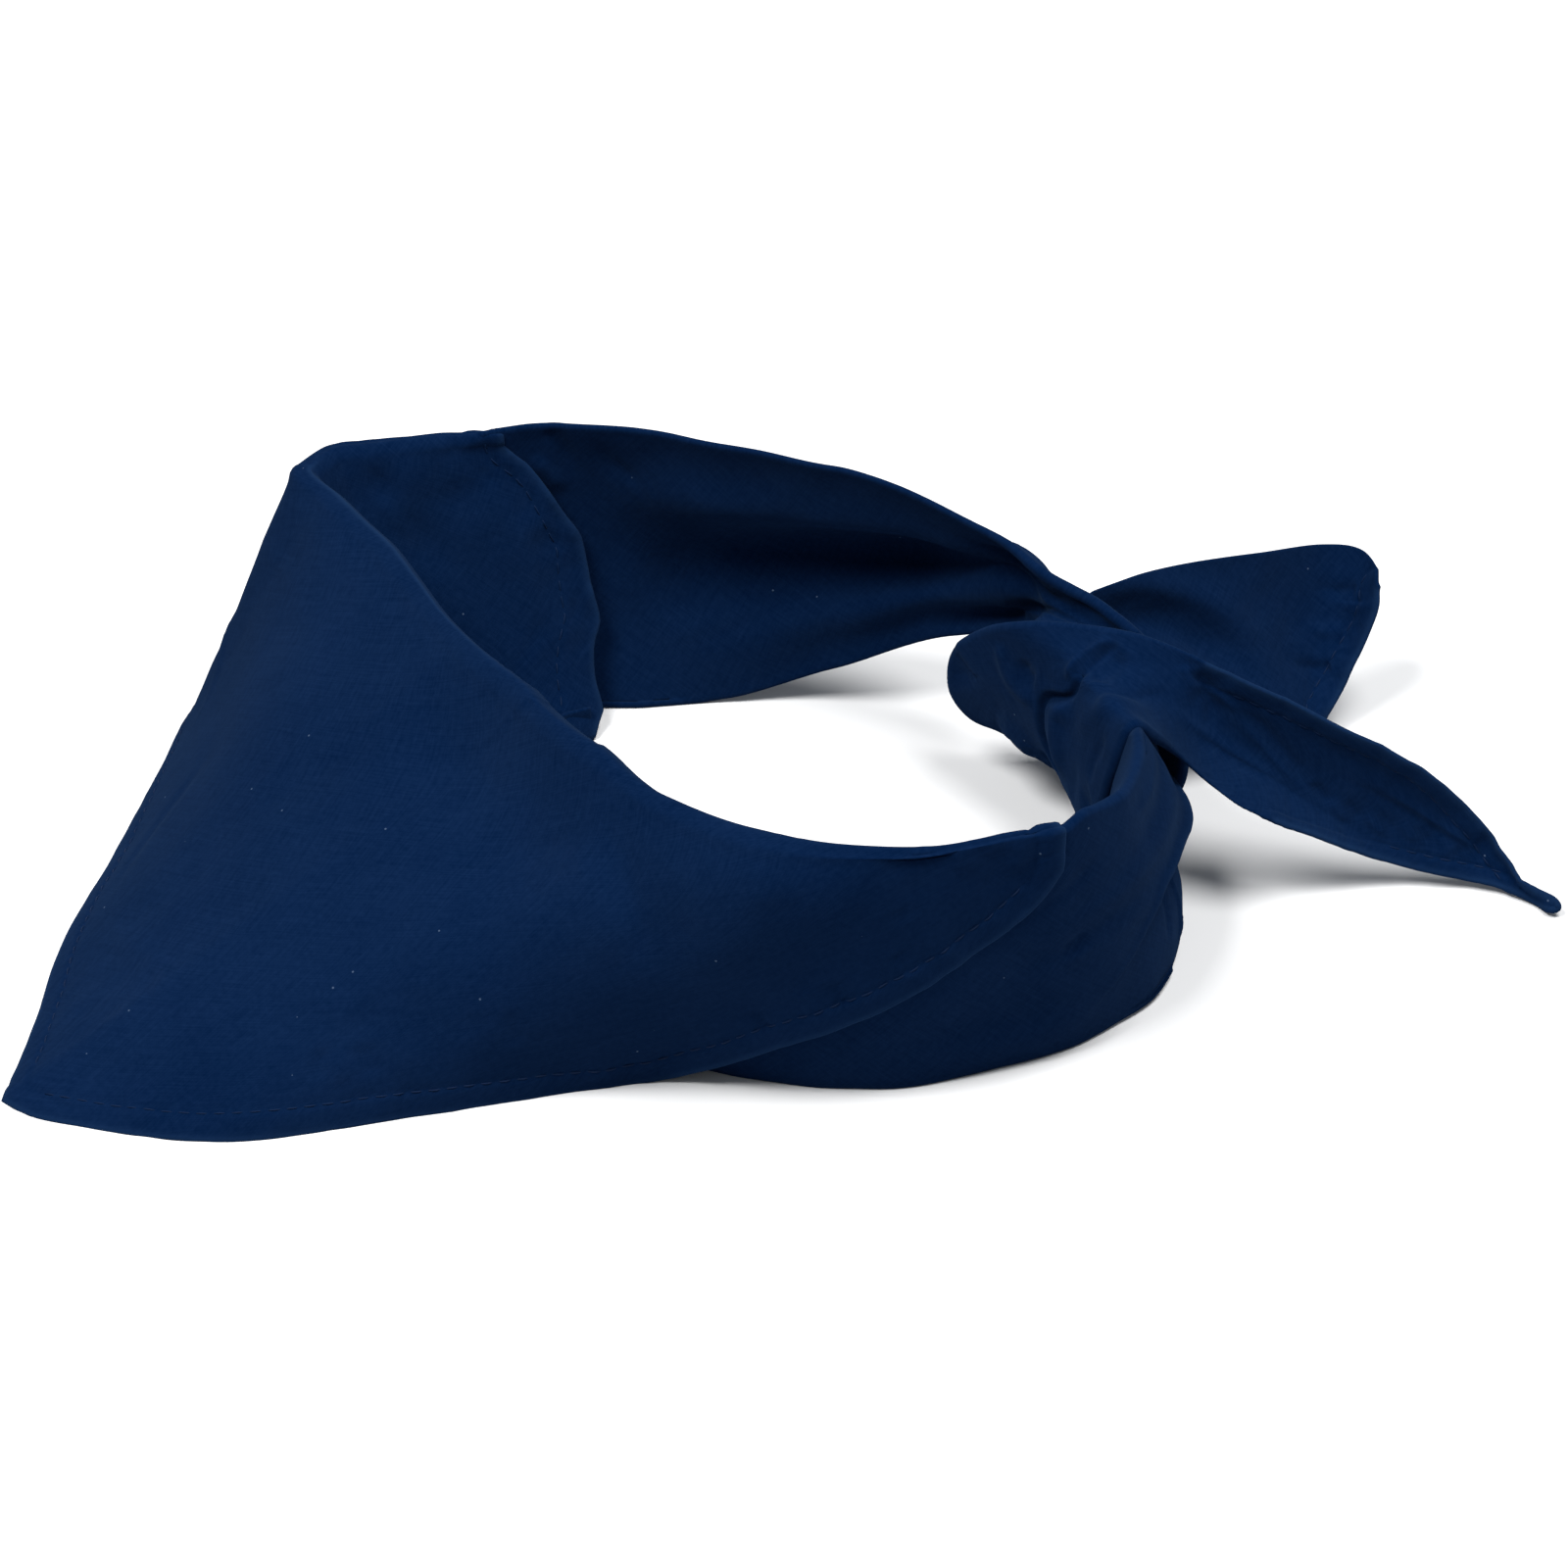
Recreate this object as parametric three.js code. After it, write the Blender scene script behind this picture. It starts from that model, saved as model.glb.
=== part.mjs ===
import * as THREE from 'three';

// A cotton bandana: a hemmed triangle of plain cloth, folded down into a neck band with its pointed
// flap left free, tied in a half knot and set down so that it stands on its lower edges.
// Millimetres, +Z up. The pointed flap lies towards -Y, the knot towards +Y, and the wearer's left
// is +X. Places are first worked out about the middle of the neck opening, at the surface below.

// Driving dimensions.
const BAND_TOP = 57;         // how high the folded band stands
const FLAP_PLY = 1.4;        // walls: each ply with the air that it holds
const BAND_PLY = 1.6;
const FOLDED_PLY = 2.2;      // the turns of cloth folded in behind the flap
const WRAP_PLY = 3.2;        // the bunched cloth of the knot's two passes
const CROSS_PLY = 4;
const TAIL_PLY = 1.4;
const SEAM_GAP = 0.3;        // where two stretches of cloth meet end to end
const LAYER_GAP = 0.9;       // between layers that lie on each other
const HEM_WIDTH = 5;
const HEM_LIFT = 0.35;       // how much thicker the doubled hem is on each face
const ROLL = BAND_PLY / 2 + LAYER_GAP + FLAP_PLY / 2;   // radius of the fold over the band
const RIM = 0.35;            // how far a rounded rim stands out, as a share of its ply
const ROLL_LEG = 5;          // how far the flap's cloth reaches down inside the fold
const NAVY = 0x14294a;       // the cloth in the light, then folded inwards, then in the hollows
const INNER_NAVY = 0x10223f;
const SHADED_NAVY = 0x0c1c36;

const UP = new THREE.Vector3(0, 0, 1);

// Rows of numbers as objects, with a name for each column.
function table(columns, rows) {
  const names = columns.split(' ');
  return rows.map((row) => Object.fromEntries(names.map((name, i) => [name, row[i]])));
}

// The slope of a column at a row, with no overshoot where the column turns back.
function slopeAt(rows, key, name, i) {
  if (i === 0 || i === rows.length - 1) return 0;
  const before = (rows[i][name] - rows[i - 1][name]) / (rows[i][key] - rows[i - 1][key]);
  const after = (rows[i + 1][name] - rows[i][name]) / (rows[i + 1][key] - rows[i][key]);
  return before * after <= 0 ? 0 : (2 * before * after) / (before + after);
}

// All the columns of a table at one value of its first column, on smooth curves through the rows.
function readAt(rows, key, value) {
  const last = rows.length - 1;
  const at = THREE.MathUtils.clamp(value, rows[0][key], rows[last][key]);
  let i = 0;
  while (i < last - 1 && at > rows[i + 1][key]) i += 1;
  const span = rows[i + 1][key] - rows[i][key];
  const t = (at - rows[i][key]) / span;
  const result = {};
  for (const name of Object.keys(rows[0])) {
    const rise = rows[i + 1][name] - rows[i][name];
    const a = slopeAt(rows, key, name, i) * span - rise;
    const b = rise - slopeAt(rows, key, name, i + 1) * span;
    result[name] = rows[i][name] + t * rise + t * (1 - t) * ((1 - t) * a + t * b);
  }
  return result;
}

// The table's rows again, with extra ones on a smooth curve between each pair.
function fill(rows, steps) {
  const names = Object.keys(rows[0]);
  const result = [];
  for (let i = 0; i < rows.length - 1; i += 1) {
    const near = [rows[Math.max(i - 1, 0)], rows[i], rows[i + 1], rows[Math.min(i + 2, rows.length - 1)]];
    for (let k = 0; k < steps; k += 1) {
      const t = k / steps;
      const row = {};
      for (const name of names) {
        const [a, b, c, d] = near.map((r) => r[name]);
        const bend = (2 * a - 5 * b + 4 * c - d) * t * t + (3 * b - a - 3 * c + d) * t * t * t;
        row[name] = b + 0.5 * ((c - a) * t + bend);
      }
      result.push(row);
    }
  }
  result.push({ ...rows[rows.length - 1] });
  return result;
}

// The neck band as it stands: its radius at the top, half way down and at the foot for each turn
// about the neck, in degrees from the front, and the heights of its top and foot.
const NECK_BAND = table('turn topR topZ midR footR footZ', [
  [-176, 66.5, 50.5, 74, 74, 28],
  [-155, 61.4, 55, 70, 68.5, 18.5],
  [-135, 60.7, BAND_TOP, 66, 62, 7.5],
  [-115, 65.8, BAND_TOP, 68.5, 60.5, 1],
  [-100, 74, BAND_TOP, 73, 61.5, 0],
  [-90, 80.8, BAND_TOP, 77, 65, 0],
  [-84, 84.6, BAND_TOP, 79, 67, 0],
  [-77, 90.5, BAND_TOP, 83, 70, 0],
  [-70, 97.5, BAND_TOP, 89, 75, 0],
  [-66, 101.5, BAND_TOP, 93, 79, 0],
  [-61.5, 101, BAND_TOP, 94, 82, 0],
  [-58, 90, BAND_TOP, 86, 79, 0],
  [-50, 71, BAND_TOP, 70, 68, 0],
  [-38, 58.5, BAND_TOP, 58.5, 58, 0],
  [-23, 49.6, BAND_TOP, 50, 50, 0],
  [0, 43, BAND_TOP, 44, 45, 0],
  [26, 45, BAND_TOP, 47, 48, 0],
  [50, 55, BAND_TOP, 58, 58.5, 0],
  [68, 65.5, BAND_TOP, 67, 64, 0],
  [79, 71, BAND_TOP, 72, 68.5, 0],
  [88, 75.3, BAND_TOP, 76, 72.5, 0],
  [100, 80.8, BAND_TOP, 81, 76.5, 0],
  [109, 85, 56, 85, 81, 0],
  [118, 84.8, 52.5, 87.5, 85, 0],
  [128, 81.5, 48.5, 88, 88.5, 0],
  [138, 78, 45.5, 87, 91, 0],
  [148, 74.5, 42.5, 85, 90, 0],
]);

const point = (turn, radius, z) => {
  const angle = THREE.MathUtils.degToRad(turn);
  return new THREE.Vector3(radius * Math.sin(angle), -radius * Math.cos(angle), z);
};
const turnOf = (p) => THREE.MathUtils.radToDeg(Math.atan2(p.x, -p.y));

// The band's radius at a height between foot (0) and top (1), through its middle radius.
function bandRadius(row, height) {
  const sag = row.midR - (row.topR + row.footR) / 2;
  return row.footR + (row.topR - row.footR) * height + 4 * sag * height * (1 - height);
}

function bandPoint(turn, height, outward = 0) {
  const row = readAt(NECK_BAND, 'turn', turn);
  const place = (r, angle) => point(angle, bandRadius(r, height), r.footZ + (r.topZ - r.footZ) * height);
  const here = place(row, turn);
  const next = place(readAt(NECK_BAND, 'turn', turn + 1), turn + 1);
  const previous = place(readAt(NECK_BAND, 'turn', turn - 1), turn - 1);
  const out = next.sub(previous).cross(UP).normalize();
  return here.addScaledVector(out, outward);
}

const SOFT_TOUCH = 0.6;      // how gently the flap comes down on the band
const FAR_CLEAR = 20;        // in soft touches: past this the band no longer moves the flap
const LEAST_SLANT = 0.7;     // the least lean of the band's face that its gap allows for

// Moves a point outwards, where it would lie inside the band's face with this much in between.
function lieOn(p, between) {
  const turn = turnOf(p);
  const row = readAt(NECK_BAND, 'turn', turn);
  const height = THREE.MathUtils.clamp((p.z - row.footZ) / (row.topZ - row.footZ), 0, 1);
  const face = bandPoint(turn, height);
  const out = bandPoint(turn, height, 1).sub(face);
  const slant = Math.max(out.dot(point(turn, 1, 0)), LEAST_SLANT);
  const least = Math.hypot(face.x, face.y) + between / slant;
  const reach = Math.hypot(p.x, p.y);
  const clear = (reach - least) / SOFT_TOUCH;
  const wanted = least + SOFT_TOUCH * Math.log(1 + Math.exp(clear));
  const scale = (clear > FAR_CLEAR ? reach : wanted) / reach;
  return new THREE.Vector3(p.x * scale, p.y * scale, p.z);
}

// A closed wall of cloth on a grid of middle points: both faces and a rounded rim all round.
function wall(grid, ply, liftAt = () => 0) {
  const rows = grid.length;
  const columns = grid[0].length;
  const at = (i, j) => grid[Math.min(Math.max(i, 0), rows - 1)][Math.min(Math.max(j, 0), columns - 1)];
  const vertices = [];
  const faces = [];
  const add = (p) => {
    vertices.push(p.x, p.y, Math.max(p.z, 0));
    return vertices.length / 3 - 1;
  };
  const front = [];
  const back = [];
  for (let i = 0; i < rows; i += 1) {
    front.push([]);
    back.push([]);
    for (let j = 0; j < columns; j += 1) {
      const along = at(i + 1, j).clone().sub(at(i - 1, j));
      const across = at(i, j + 1).clone().sub(at(i, j - 1));
      const proud = along.cross(across).normalize();
      front[i].push(add(at(i, j).clone().addScaledVector(proud, ply / 2 + liftAt(i, j))));
      back[i].push(add(at(i, j).clone().addScaledVector(proud, -ply / 2)));
    }
  }
  for (let i = 0; i < rows - 1; i += 1) {
    for (let j = 0; j < columns - 1; j += 1) {
      faces.push([front[i][j], front[i + 1][j], front[i + 1][j + 1]]);
      faces.push([front[i][j], front[i + 1][j + 1], front[i][j + 1]]);
      faces.push([back[i][j], back[i + 1][j + 1], back[i + 1][j]]);
      faces.push([back[i][j], back[i][j + 1], back[i + 1][j + 1]]);
    }
  }
  const rim = [];
  for (let j = 0; j < columns - 1; j += 1) rim.push([0, j, 1, 0]);
  for (let i = 0; i < rows - 1; i += 1) rim.push([i, columns - 1, 0, -1]);
  for (let j = columns - 1; j > 0; j -= 1) rim.push([rows - 1, j, -1, 0]);
  for (let i = rows - 1; i > 0; i -= 1) rim.push([i, 0, 0, 1]);
  const edge = rim.map(([i, j, inI, inJ]) => {
    const corner = (i === 0 || i === rows - 1) && (j === 0 || j === columns - 1);
    const inside = at(i, j).clone().sub(at(i + inI, j + inJ)).normalize();
    return add(at(i, j).clone().addScaledVector(inside, corner ? 0 : ply * RIM));
  });
  rim.forEach(([i, j], k) => {
    const [ni, nj] = rim[(k + 1) % rim.length];
    const next = edge[(k + 1) % rim.length];
    faces.push([front[i][j], front[ni][nj], next], [front[i][j], next, edge[k]]);
    faces.push([edge[k], next, back[ni][nj]], [edge[k], back[ni][nj], back[i][j]]);
  });
  return closedGeometry(vertices, faces);
}

// A geometry with its faces turned outwards.
function closedGeometry(vertices, faces) {
  const corner = (k) => new THREE.Vector3(...vertices.slice(3 * k, 3 * k + 3));
  let volume = 0;
  for (const [a, b, c] of faces) volume += corner(a).dot(corner(b).cross(corner(c)));
  const index = faces.flatMap(([a, b, c]) => (volume < 0 ? [a, c, b] : [a, b, c]));
  const geometry = new THREE.BufferGeometry();
  geometry.setAttribute('position', new THREE.Float32BufferAttribute(vertices, 3));
  geometry.setIndex(index);
  geometry.computeVertexNormals();
  return geometry;
}

const bandana = new THREE.Group();

function addPiece(name, geometry, colour = NAVY) {
  const material = new THREE.MeshStandardMaterial({ color: colour, roughness: 0.85, metalness: 0 });
  const mesh = new THREE.Mesh(geometry, material);
  mesh.name = name;
  bandana.add(mesh);
}

// The flap: the turn of its fold over the band, the place where the same thread of cloth reaches
// the hem, and how far it swells outwards, first on the wearer's right of its tip, then on the left.
const FLAP_FAR = table('turn hemX hemY hemZ swell', [
  [-84, -84.5, -12, 52, 0.1],
  [-77, -86.5, -24, 42, 0.1],
  [-70, -89.5, -40, 28, 0.05],
  [-66, -92, -57, 13, 0.02],
  [-61.5, -92.5, -73, 1, 0.02],
  [-58, -83, -82.5, 0, 0.05],
  [-50, -60.5, -102.5, 0, 0.2],
  [-38, -39.5, -121.5, 0, 0.3],
  [-23, -18.5, -137, 0, 0.35],
  [-6, 1.5, -152, 0, 0.35],
]);
const FLAP_NEAR = table('turn hemX hemY hemZ swell', [
  [-6, 1.5, -152, 0, 0.35],
  [0.6, 12, -146, 0, 0.35],
  [26, 32, -121, 0, 0.35],
  [50, 41.5, -84.5, 0, 0.35],
  [68, 50.5, -46, 0, 0.35],
  [79, 61, -24, 7, 0.3],
  [88, 69, -6, 17, 0.2],
  [99.5, 77.5, 12, 29, 0.1],
  [107, 82, 24, 46, 0.1],
]);

const LEAVE_DROP = 0.8;      // how steeply the flap leaves its fold, for each unit outwards
const ARRIVE_SHARE = 0.3;    // the share of its drop over which it comes straight to the hem

function flapGrid(alongSteps, acrossSteps) {
  const rows = fill(FLAP_FAR, alongSteps).concat(fill(FLAP_NEAR, alongSteps).slice(1));
  return rows.map((row) => {
    const top = readAt(NECK_BAND, 'turn', row.turn).topZ;
    const centre = bandPoint(row.turn, 1).setZ(top - ROLL - FLAP_PLY / 2);
    const out = bandPoint(row.turn, 1, 1).sub(bandPoint(row.turn, 1));
    const onRoll = (degrees) => {
      const angle = THREE.MathUtils.degToRad(degrees);
      const p = centre.clone().addScaledVector(out, -ROLL * Math.cos(angle));
      return p.addScaledVector(UP, ROLL * Math.sin(angle));
    };
    const onLeg = (z) => bandPoint(row.turn, z / top, -ROLL).setZ(z);
    const points = [onLeg(centre.z - ROLL_LEG), onLeg(centre.z), onRoll(45), onRoll(90)];
    const start = onRoll(130);
    const hem = new THREE.Vector3(row.hemX, row.hemY, row.hemZ);
    const drop = hem.clone().sub(start);
    const length = drop.length();
    const leave = out.clone().addScaledVector(UP, -LEAVE_DROP).normalize();
    const leaving = start.clone().addScaledVector(leave, length * row.swell);
    const arriving = hem.clone().addScaledVector(drop, -ARRIVE_SHARE);
    const curve = new THREE.CubicBezierCurve3(start, leaving, arriving, hem);
    for (let k = 0; k <= acrossSteps; k += 1) {
      points.push(lieOn(curve.getPoint(k / acrossSteps), ROLL));
    }
    return points;
  });
}

// The cloth folded in behind the flap, on the neck side: how far its foot swings in from the band
// at each turn, and the two hems that end it, each by the turn of its edge at several heights.
const INNER_SLACK = table('turn foot', [
  [-94, 7],
  [-85, 11],
  [-70, 13],
  [-60, 15],
  [-48, 11],
  [-30, 7],
  [0, 4],
  [60, 3],
  [110, 3],
]);
const INNER_HEM_FAR = table('height turn', [
  [0, -85.5],
  [0.05, -90],
  [0.3, -93],
  [0.55, -92.5],
  [0.8, -90],
  [1, -85],
]);
const INNER_HEM_NEAR = table('height turn', [
  [0, 93],
  [0.3, 98],
  [0.7, 103],
  [1, 106],
]);

const SLACK_CURVE = 1.6;     // the fold hangs straight at first and swings in near its foot

function innerGrid(alongSteps, acrossSteps) {
  const depth = BAND_PLY / 2 + LAYER_GAP + FOLDED_PLY / 2;
  const grid = [];
  for (let i = 0; i <= alongSteps; i += 1) {
    const column = [];
    for (let k = 0; k <= acrossSteps; k += 1) {
      const height = k / acrossSteps;
      const far = readAt(INNER_HEM_FAR, 'height', height).turn;
      const near = readAt(INNER_HEM_NEAR, 'height', height).turn;
      const turn = far + (near - far) * (i / alongSteps);
      const slack = readAt(INNER_SLACK, 'turn', turn).foot * (1 - height) ** SLACK_CURVE;
      const top = readAt(NECK_BAND, 'turn', turn).topZ;
      const rims = RIM * (FOLDED_PLY + FLAP_PLY);
      const ceiling = top - ROLL - FLAP_PLY / 2 - ROLL_LEG - SEAM_GAP - rims;
      const z = ceiling * height;
      const p = bandPoint(turn, z / top, -depth);
      const shrink = 1 - slack / Math.hypot(p.x, p.y);
      column.push(new THREE.Vector3(p.x * shrink, p.y * shrink, z));
    }
    grid.push(column);
  }
  return grid;
}

const RIDGE_WIDTH = 0.13;    // of a soft ridge along a band, as a share of its height

// A stretch of the band that shows between the flap and the knot: for each turn the heights of its
// foot and top as shares of the band's, how far its middle is hollowed outwards, how far a ridge
// leans inwards and at what share of the height, and how far the stretch is tucked inwards.
function bandGrid(rows, steps, acrossSteps) {
  return fill(rows, steps).map((row) => {
    const points = [];
    for (let k = 0; k <= acrossSteps; k += 1) {
      const share = k / acrossSteps;
      const height = row.foot + (row.top - row.foot) * share;
      const ridge = row.ridge * Math.exp(-(((share - row.ridgeAt) / RIDGE_WIDTH) ** 2));
      const relief = row.hollow * Math.sin(Math.PI * share) + ridge;
      points.push(bandPoint(row.turn, height, relief - row.inward));
    }
    return points;
  });
}

const RIGHT_BAND = table('turn foot top hollow ridge ridgeAt inward', [
  [-74, 0, 0.95, 0, 0, 0.1, 0],
  [-84.5, 0, 0.95, 0, 0, 0.1, 0],
  [-88, 0, 0.985, 0, 0, 0.1, 0],
  [-100, 0, 0.985, 1, -1, 0.1, 0],
  [-115, 0, 0.985, 2, -2, 0.12, 0],
  [-135, 0, 0.985, 3, -3, 0.22, 0],
  [-153, 0, 0.985, 3, -4, 0.3, 0],
  [-173, 0, 0.985, 2, -4, 0.4, 0],
]);
const LEFT_BAND = table('turn foot top hollow ridge ridgeAt inward', [
  [52, 0, 0.95, 0, 0, 0.1, 0],
  [80, 0, 0.95, 0, 0, 0.1, 0],
  [107.5, 0, 0.95, 0, 0, 0.1, 0],
  [111, 0, 0.985, 0, 0, 0.1, 0],
  [117, 0, 0.985, 0, 0, 0.1, 0],
  [124, 0.25, 0.985, 0, 0, 0.2, 0],
  [134, 0.4, 0.985, 1, 0, 0.2, 0],
  [144, 0.46, 0.97, 2, 0, 0.2, 0],
]);
const LEFT_UNDER = table('turn foot top hollow ridge ridgeAt inward', [
  [110, 0, 0.4, 0, 0, 0.1, 2.2],
  [120, 0, 0.42, 0, 0, 0.1, 2.2],
  [130, 0, 0.5, 0, 0, 0.1, 2.2],
  [139, 0.02, 0.52, 0, 0, 0.1, 2.2],
  [144, 0.1, 0.54, 0, 0, 0.1, 3],
]);

// A strand of cloth between two edges: one edge, the other edge, and how far its middle is crowned.
function strandGrid(rows, steps, acrossSteps) {
  const sections = fill(rows, steps);
  const middle = (row) => {
    const sum = new THREE.Vector3(row.ax + row.bx, row.ay + row.by, row.az + row.bz);
    return sum.divideScalar(2);
  };
  return sections.map((row, i) => {
    const before = middle(sections[Math.max(i - 1, 0)]);
    const after = middle(sections[Math.min(i + 1, sections.length - 1)]);
    const a = new THREE.Vector3(row.ax, row.ay, row.az);
    const b = new THREE.Vector3(row.bx, row.by, row.bz);
    const proud = after.sub(before).cross(b.clone().sub(a)).normalize();
    const points = [];
    for (let k = 0; k <= acrossSteps; k += 1) {
      const share = k / acrossSteps;
      points.push(a.clone().lerp(b, share).addScaledVector(proud, row.crown * 4 * share * (1 - share)));
    }
    return points;
  });
}

const EDGES = 'ax ay az bx by bz crown';
const KNOT_CROSS = table(EDGES, [
  [-6.1, 66.2, 48, -6.5, 72.3, 30, 1],
  [4, 73, 44.5, -1, 66, 38, 1.5],
  [14, 79.5, 39, 9, 70, 39, 2],
  [22, 84, 29, 16, 76, 34, 2],
  [25, 83.5, 18, 15, 80.5, 24, 2],
  [25, 81.5, 10, 7, 81.5, 12, 2],
  [24, 74.9, 5.5, 0, 75.8, 7.5, 1.5],
]);
const KNOT_WRAP = table(EDGES, [
  [-7, 72.8, 6.5, 24, 71.8, 4.5, 1],
  [-14, 58, 13, 30, 59, 9, 3],
  [-15, 54, 25, 40, 57, 22, 4],
  [-6, 57.5, 35.5, 43, 58, 33, 4],
  [5, 62, 42, 43, 61.5, 42, 3],
  [18, 72, 45, 42.5, 66.5, 38.5, 3],
  [25, 81, 43, 40, 73.5, 31, 2],
]);
const RIGHT_TAIL = table(EDGES, [
  [26.2, 82.6, 42.6, 41.2, 74.8, 30.2, 2],
  [33, 88, 40.5, 43, 83, 19, 3],
  [46, 101, 34.5, 52, 98, 11, 3],
  [58, 116, 25.5, 61, 115, 4, 2.5],
  [63, 127, 13, 68, 125, 2, 1.5],
  [68, 130, 7, 72, 129, 1.2, 1],
  [75, 131.5, 3.6, 77, 132, 0.8, 0.3],
  [81.5, 135, 2.6, 82.5, 133, 0.8, 0.2],
]);
const LEFT_TAIL = table(EDGES, [
  [-4, 77, 38, 7, 79, 24, 1],
  [-7, 90, 37, 11, 92, 18, 2],
  [-8, 104, 35.5, 14, 104, 13, 3],
  [-9, 120, 33.5, 14, 114, 8, 3],
  [-10, 134.5, 30.5, 12, 120, 4.5, 2],
  [-5, 141, 30, 11.5, 122, 4, 1.5],
  [4, 141, 27.5, 10.8, 124, 4, 1],
]);
const KNOT_CORE = table('x y z high deep', [
  [46.5, 63.2, 26.5, 12, 4],
  [42, 66, 25.5, 17, 9],
  [32, 68, 24.6, 17.5, 11],
  [20, 68.5, 25, 18, 11.5],
  [8, 71, 27, 16, 10],
  [-2, 74.5, 30, 14, 4],
]);

// The bunched cloth inside the knot: a rounded solid through upright oval sections.
function bundle(rows, steps, sides) {
  const sections = fill(rows, steps);
  const vertices = [];
  const faces = [];
  const middle = (row) => new THREE.Vector3(row.x, row.y, row.z);
  sections.forEach((row, i) => {
    const before = middle(sections[Math.max(i - 1, 0)]);
    const after = middle(sections[Math.min(i + 1, sections.length - 1)]);
    const aside = after.sub(before).cross(UP).normalize();
    for (let k = 0; k < sides; k += 1) {
      const angle = (2 * Math.PI * k) / sides;
      const p = middle(row).addScaledVector(aside, (row.deep / 2) * Math.cos(angle));
      p.addScaledVector(UP, (row.high / 2) * Math.sin(angle));
      vertices.push(p.x, p.y, p.z);
    }
  });
  for (let i = 0; i < sections.length - 1; i += 1) {
    for (let k = 0; k < sides; k += 1) {
      const next = (k + 1) % sides;
      const [a, b] = [i * sides + k, i * sides + next];
      faces.push([a, b, b + sides], [a, b + sides, a + sides]);
    }
  }
  const end = (sections.length - 1) * sides;
  for (let k = 1; k < sides - 1; k += 1) {
    faces.push([0, k + 1, k], [end, end + k, end + k + 1]);
  }
  return closedGeometry(vertices, faces);
}

// The doubled cloth of a hem, on the outer face of the last stretch of each section.
const hemLift = (grid) => (i, j) => {
  const last = grid[i].length - 1;
  return grid[i][j].distanceTo(grid[i][last]) < HEM_WIDTH ? HEM_LIFT : 0;
};

const flap = flapGrid(2, 12);
addPiece('front_flap', wall(flap, FLAP_PLY, hemLift(flap)));
addPiece('inner_fold', wall(innerGrid(56, 6), FOLDED_PLY), INNER_NAVY);
addPiece('right_band', wall(bandGrid(RIGHT_BAND, 3, 10), BAND_PLY), SHADED_NAVY);
addPiece('left_band', wall(bandGrid(LEFT_BAND, 3, 10), BAND_PLY));
addPiece('left_under', wall(bandGrid(LEFT_UNDER, 3, 6), BAND_PLY), SHADED_NAVY);
addPiece('knot_core', bundle(KNOT_CORE, 3, 16));
addPiece('knot_cross', wall(strandGrid(KNOT_CROSS, 3, 8), CROSS_PLY));
addPiece('knot_wrap', wall(strandGrid(KNOT_WRAP, 4, 10), WRAP_PLY));
addPiece('right_tail', wall(strandGrid(RIGHT_TAIL, 4, 8), TAIL_PLY));
addPiece('left_tail', wall(strandGrid(LEFT_TAIL, 4, 8), TAIL_PLY));

// The origin is the middle of the bounding box, on the surface that the bandana stands on.
const bounds = new THREE.Box3().setFromObject(bandana);
const middle = bounds.getCenter(new THREE.Vector3());
bandana.position.set(-middle.x, -middle.y, -bounds.min.z);

export default bandana;
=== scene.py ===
import math
import random

import bpy
import numpy as np
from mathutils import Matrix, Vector, kdtree, noise


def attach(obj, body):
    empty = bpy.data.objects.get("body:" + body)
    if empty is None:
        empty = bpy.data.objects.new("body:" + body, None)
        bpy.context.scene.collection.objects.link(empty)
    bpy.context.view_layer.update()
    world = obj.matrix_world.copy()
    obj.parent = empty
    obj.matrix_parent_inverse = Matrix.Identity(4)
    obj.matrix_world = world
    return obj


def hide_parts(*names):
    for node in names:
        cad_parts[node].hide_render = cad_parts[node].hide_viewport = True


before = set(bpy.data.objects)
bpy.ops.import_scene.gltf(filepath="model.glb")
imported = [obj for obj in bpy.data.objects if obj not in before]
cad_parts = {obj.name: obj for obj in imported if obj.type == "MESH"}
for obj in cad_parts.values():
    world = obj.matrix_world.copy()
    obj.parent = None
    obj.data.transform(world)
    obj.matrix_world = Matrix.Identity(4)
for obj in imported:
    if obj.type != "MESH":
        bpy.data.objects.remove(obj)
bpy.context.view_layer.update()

# A navy cotton bandana, folded down into a neck band with its pointed flap left free, tied in a
# half knot and set down on its lower edges. The shapes are worked out in millimetres about the
# middle of the neck opening. A turn is an angle about the neck in degrees from the front, and the
# wearer's left has turns above 0. Each stretch of cloth is a grid of points close to its own solids'
# form.

MM = 0.001
NECK_MIDDLE = np.array([5.72, 5.21, 0.0])   # in the frame
UP = np.array([0.0, 0.0, 1.0])

# Sizes of the folded cloth, as in the solids.
BAND_TOP = 57.0
FLAP_PLY = 1.4
BAND_PLY = 1.6
LAYER_GAP = 0.9
ROLL = BAND_PLY / 2 + LAYER_GAP + FLAP_PLY / 2
RIDGE_WIDTH = 0.13
SLACK_CURVE = 1.6
LEAVE_DROP = 0.8
ARRIVE_SHARE = 0.3
SOFT_TOUCH = 0.6
FAR_CLEAR = 20
LEAST_SLANT = 0.7

# Sizes that the cloth itself shows.
PLY = 0.5            # one ply of the cotton
BAND_WALL = 1.4      # the folded plies of the band
STRAND_WALL = 2.6    # the bunched cloth of the knot
HEM_WIDTH = 5.0
HEM_HALF = 0.2       # what the two turned plies of a hem add to each face
STITCH_PITCH = 3.3
STITCH_LENGTH = 2.5
THREAD = 0.34        # the sewing thread's diameter
GROOVE = 0.16        # how deep the stitches pull the cloth in
GROOVE_WIDTH = 0.55
HEM_SWELL = 0.1
CREASE_STEP = 0.12   # between a crease's places, as a share of its width
FLOOR_CLEAR = 0.02


# Tables of numbers

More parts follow.
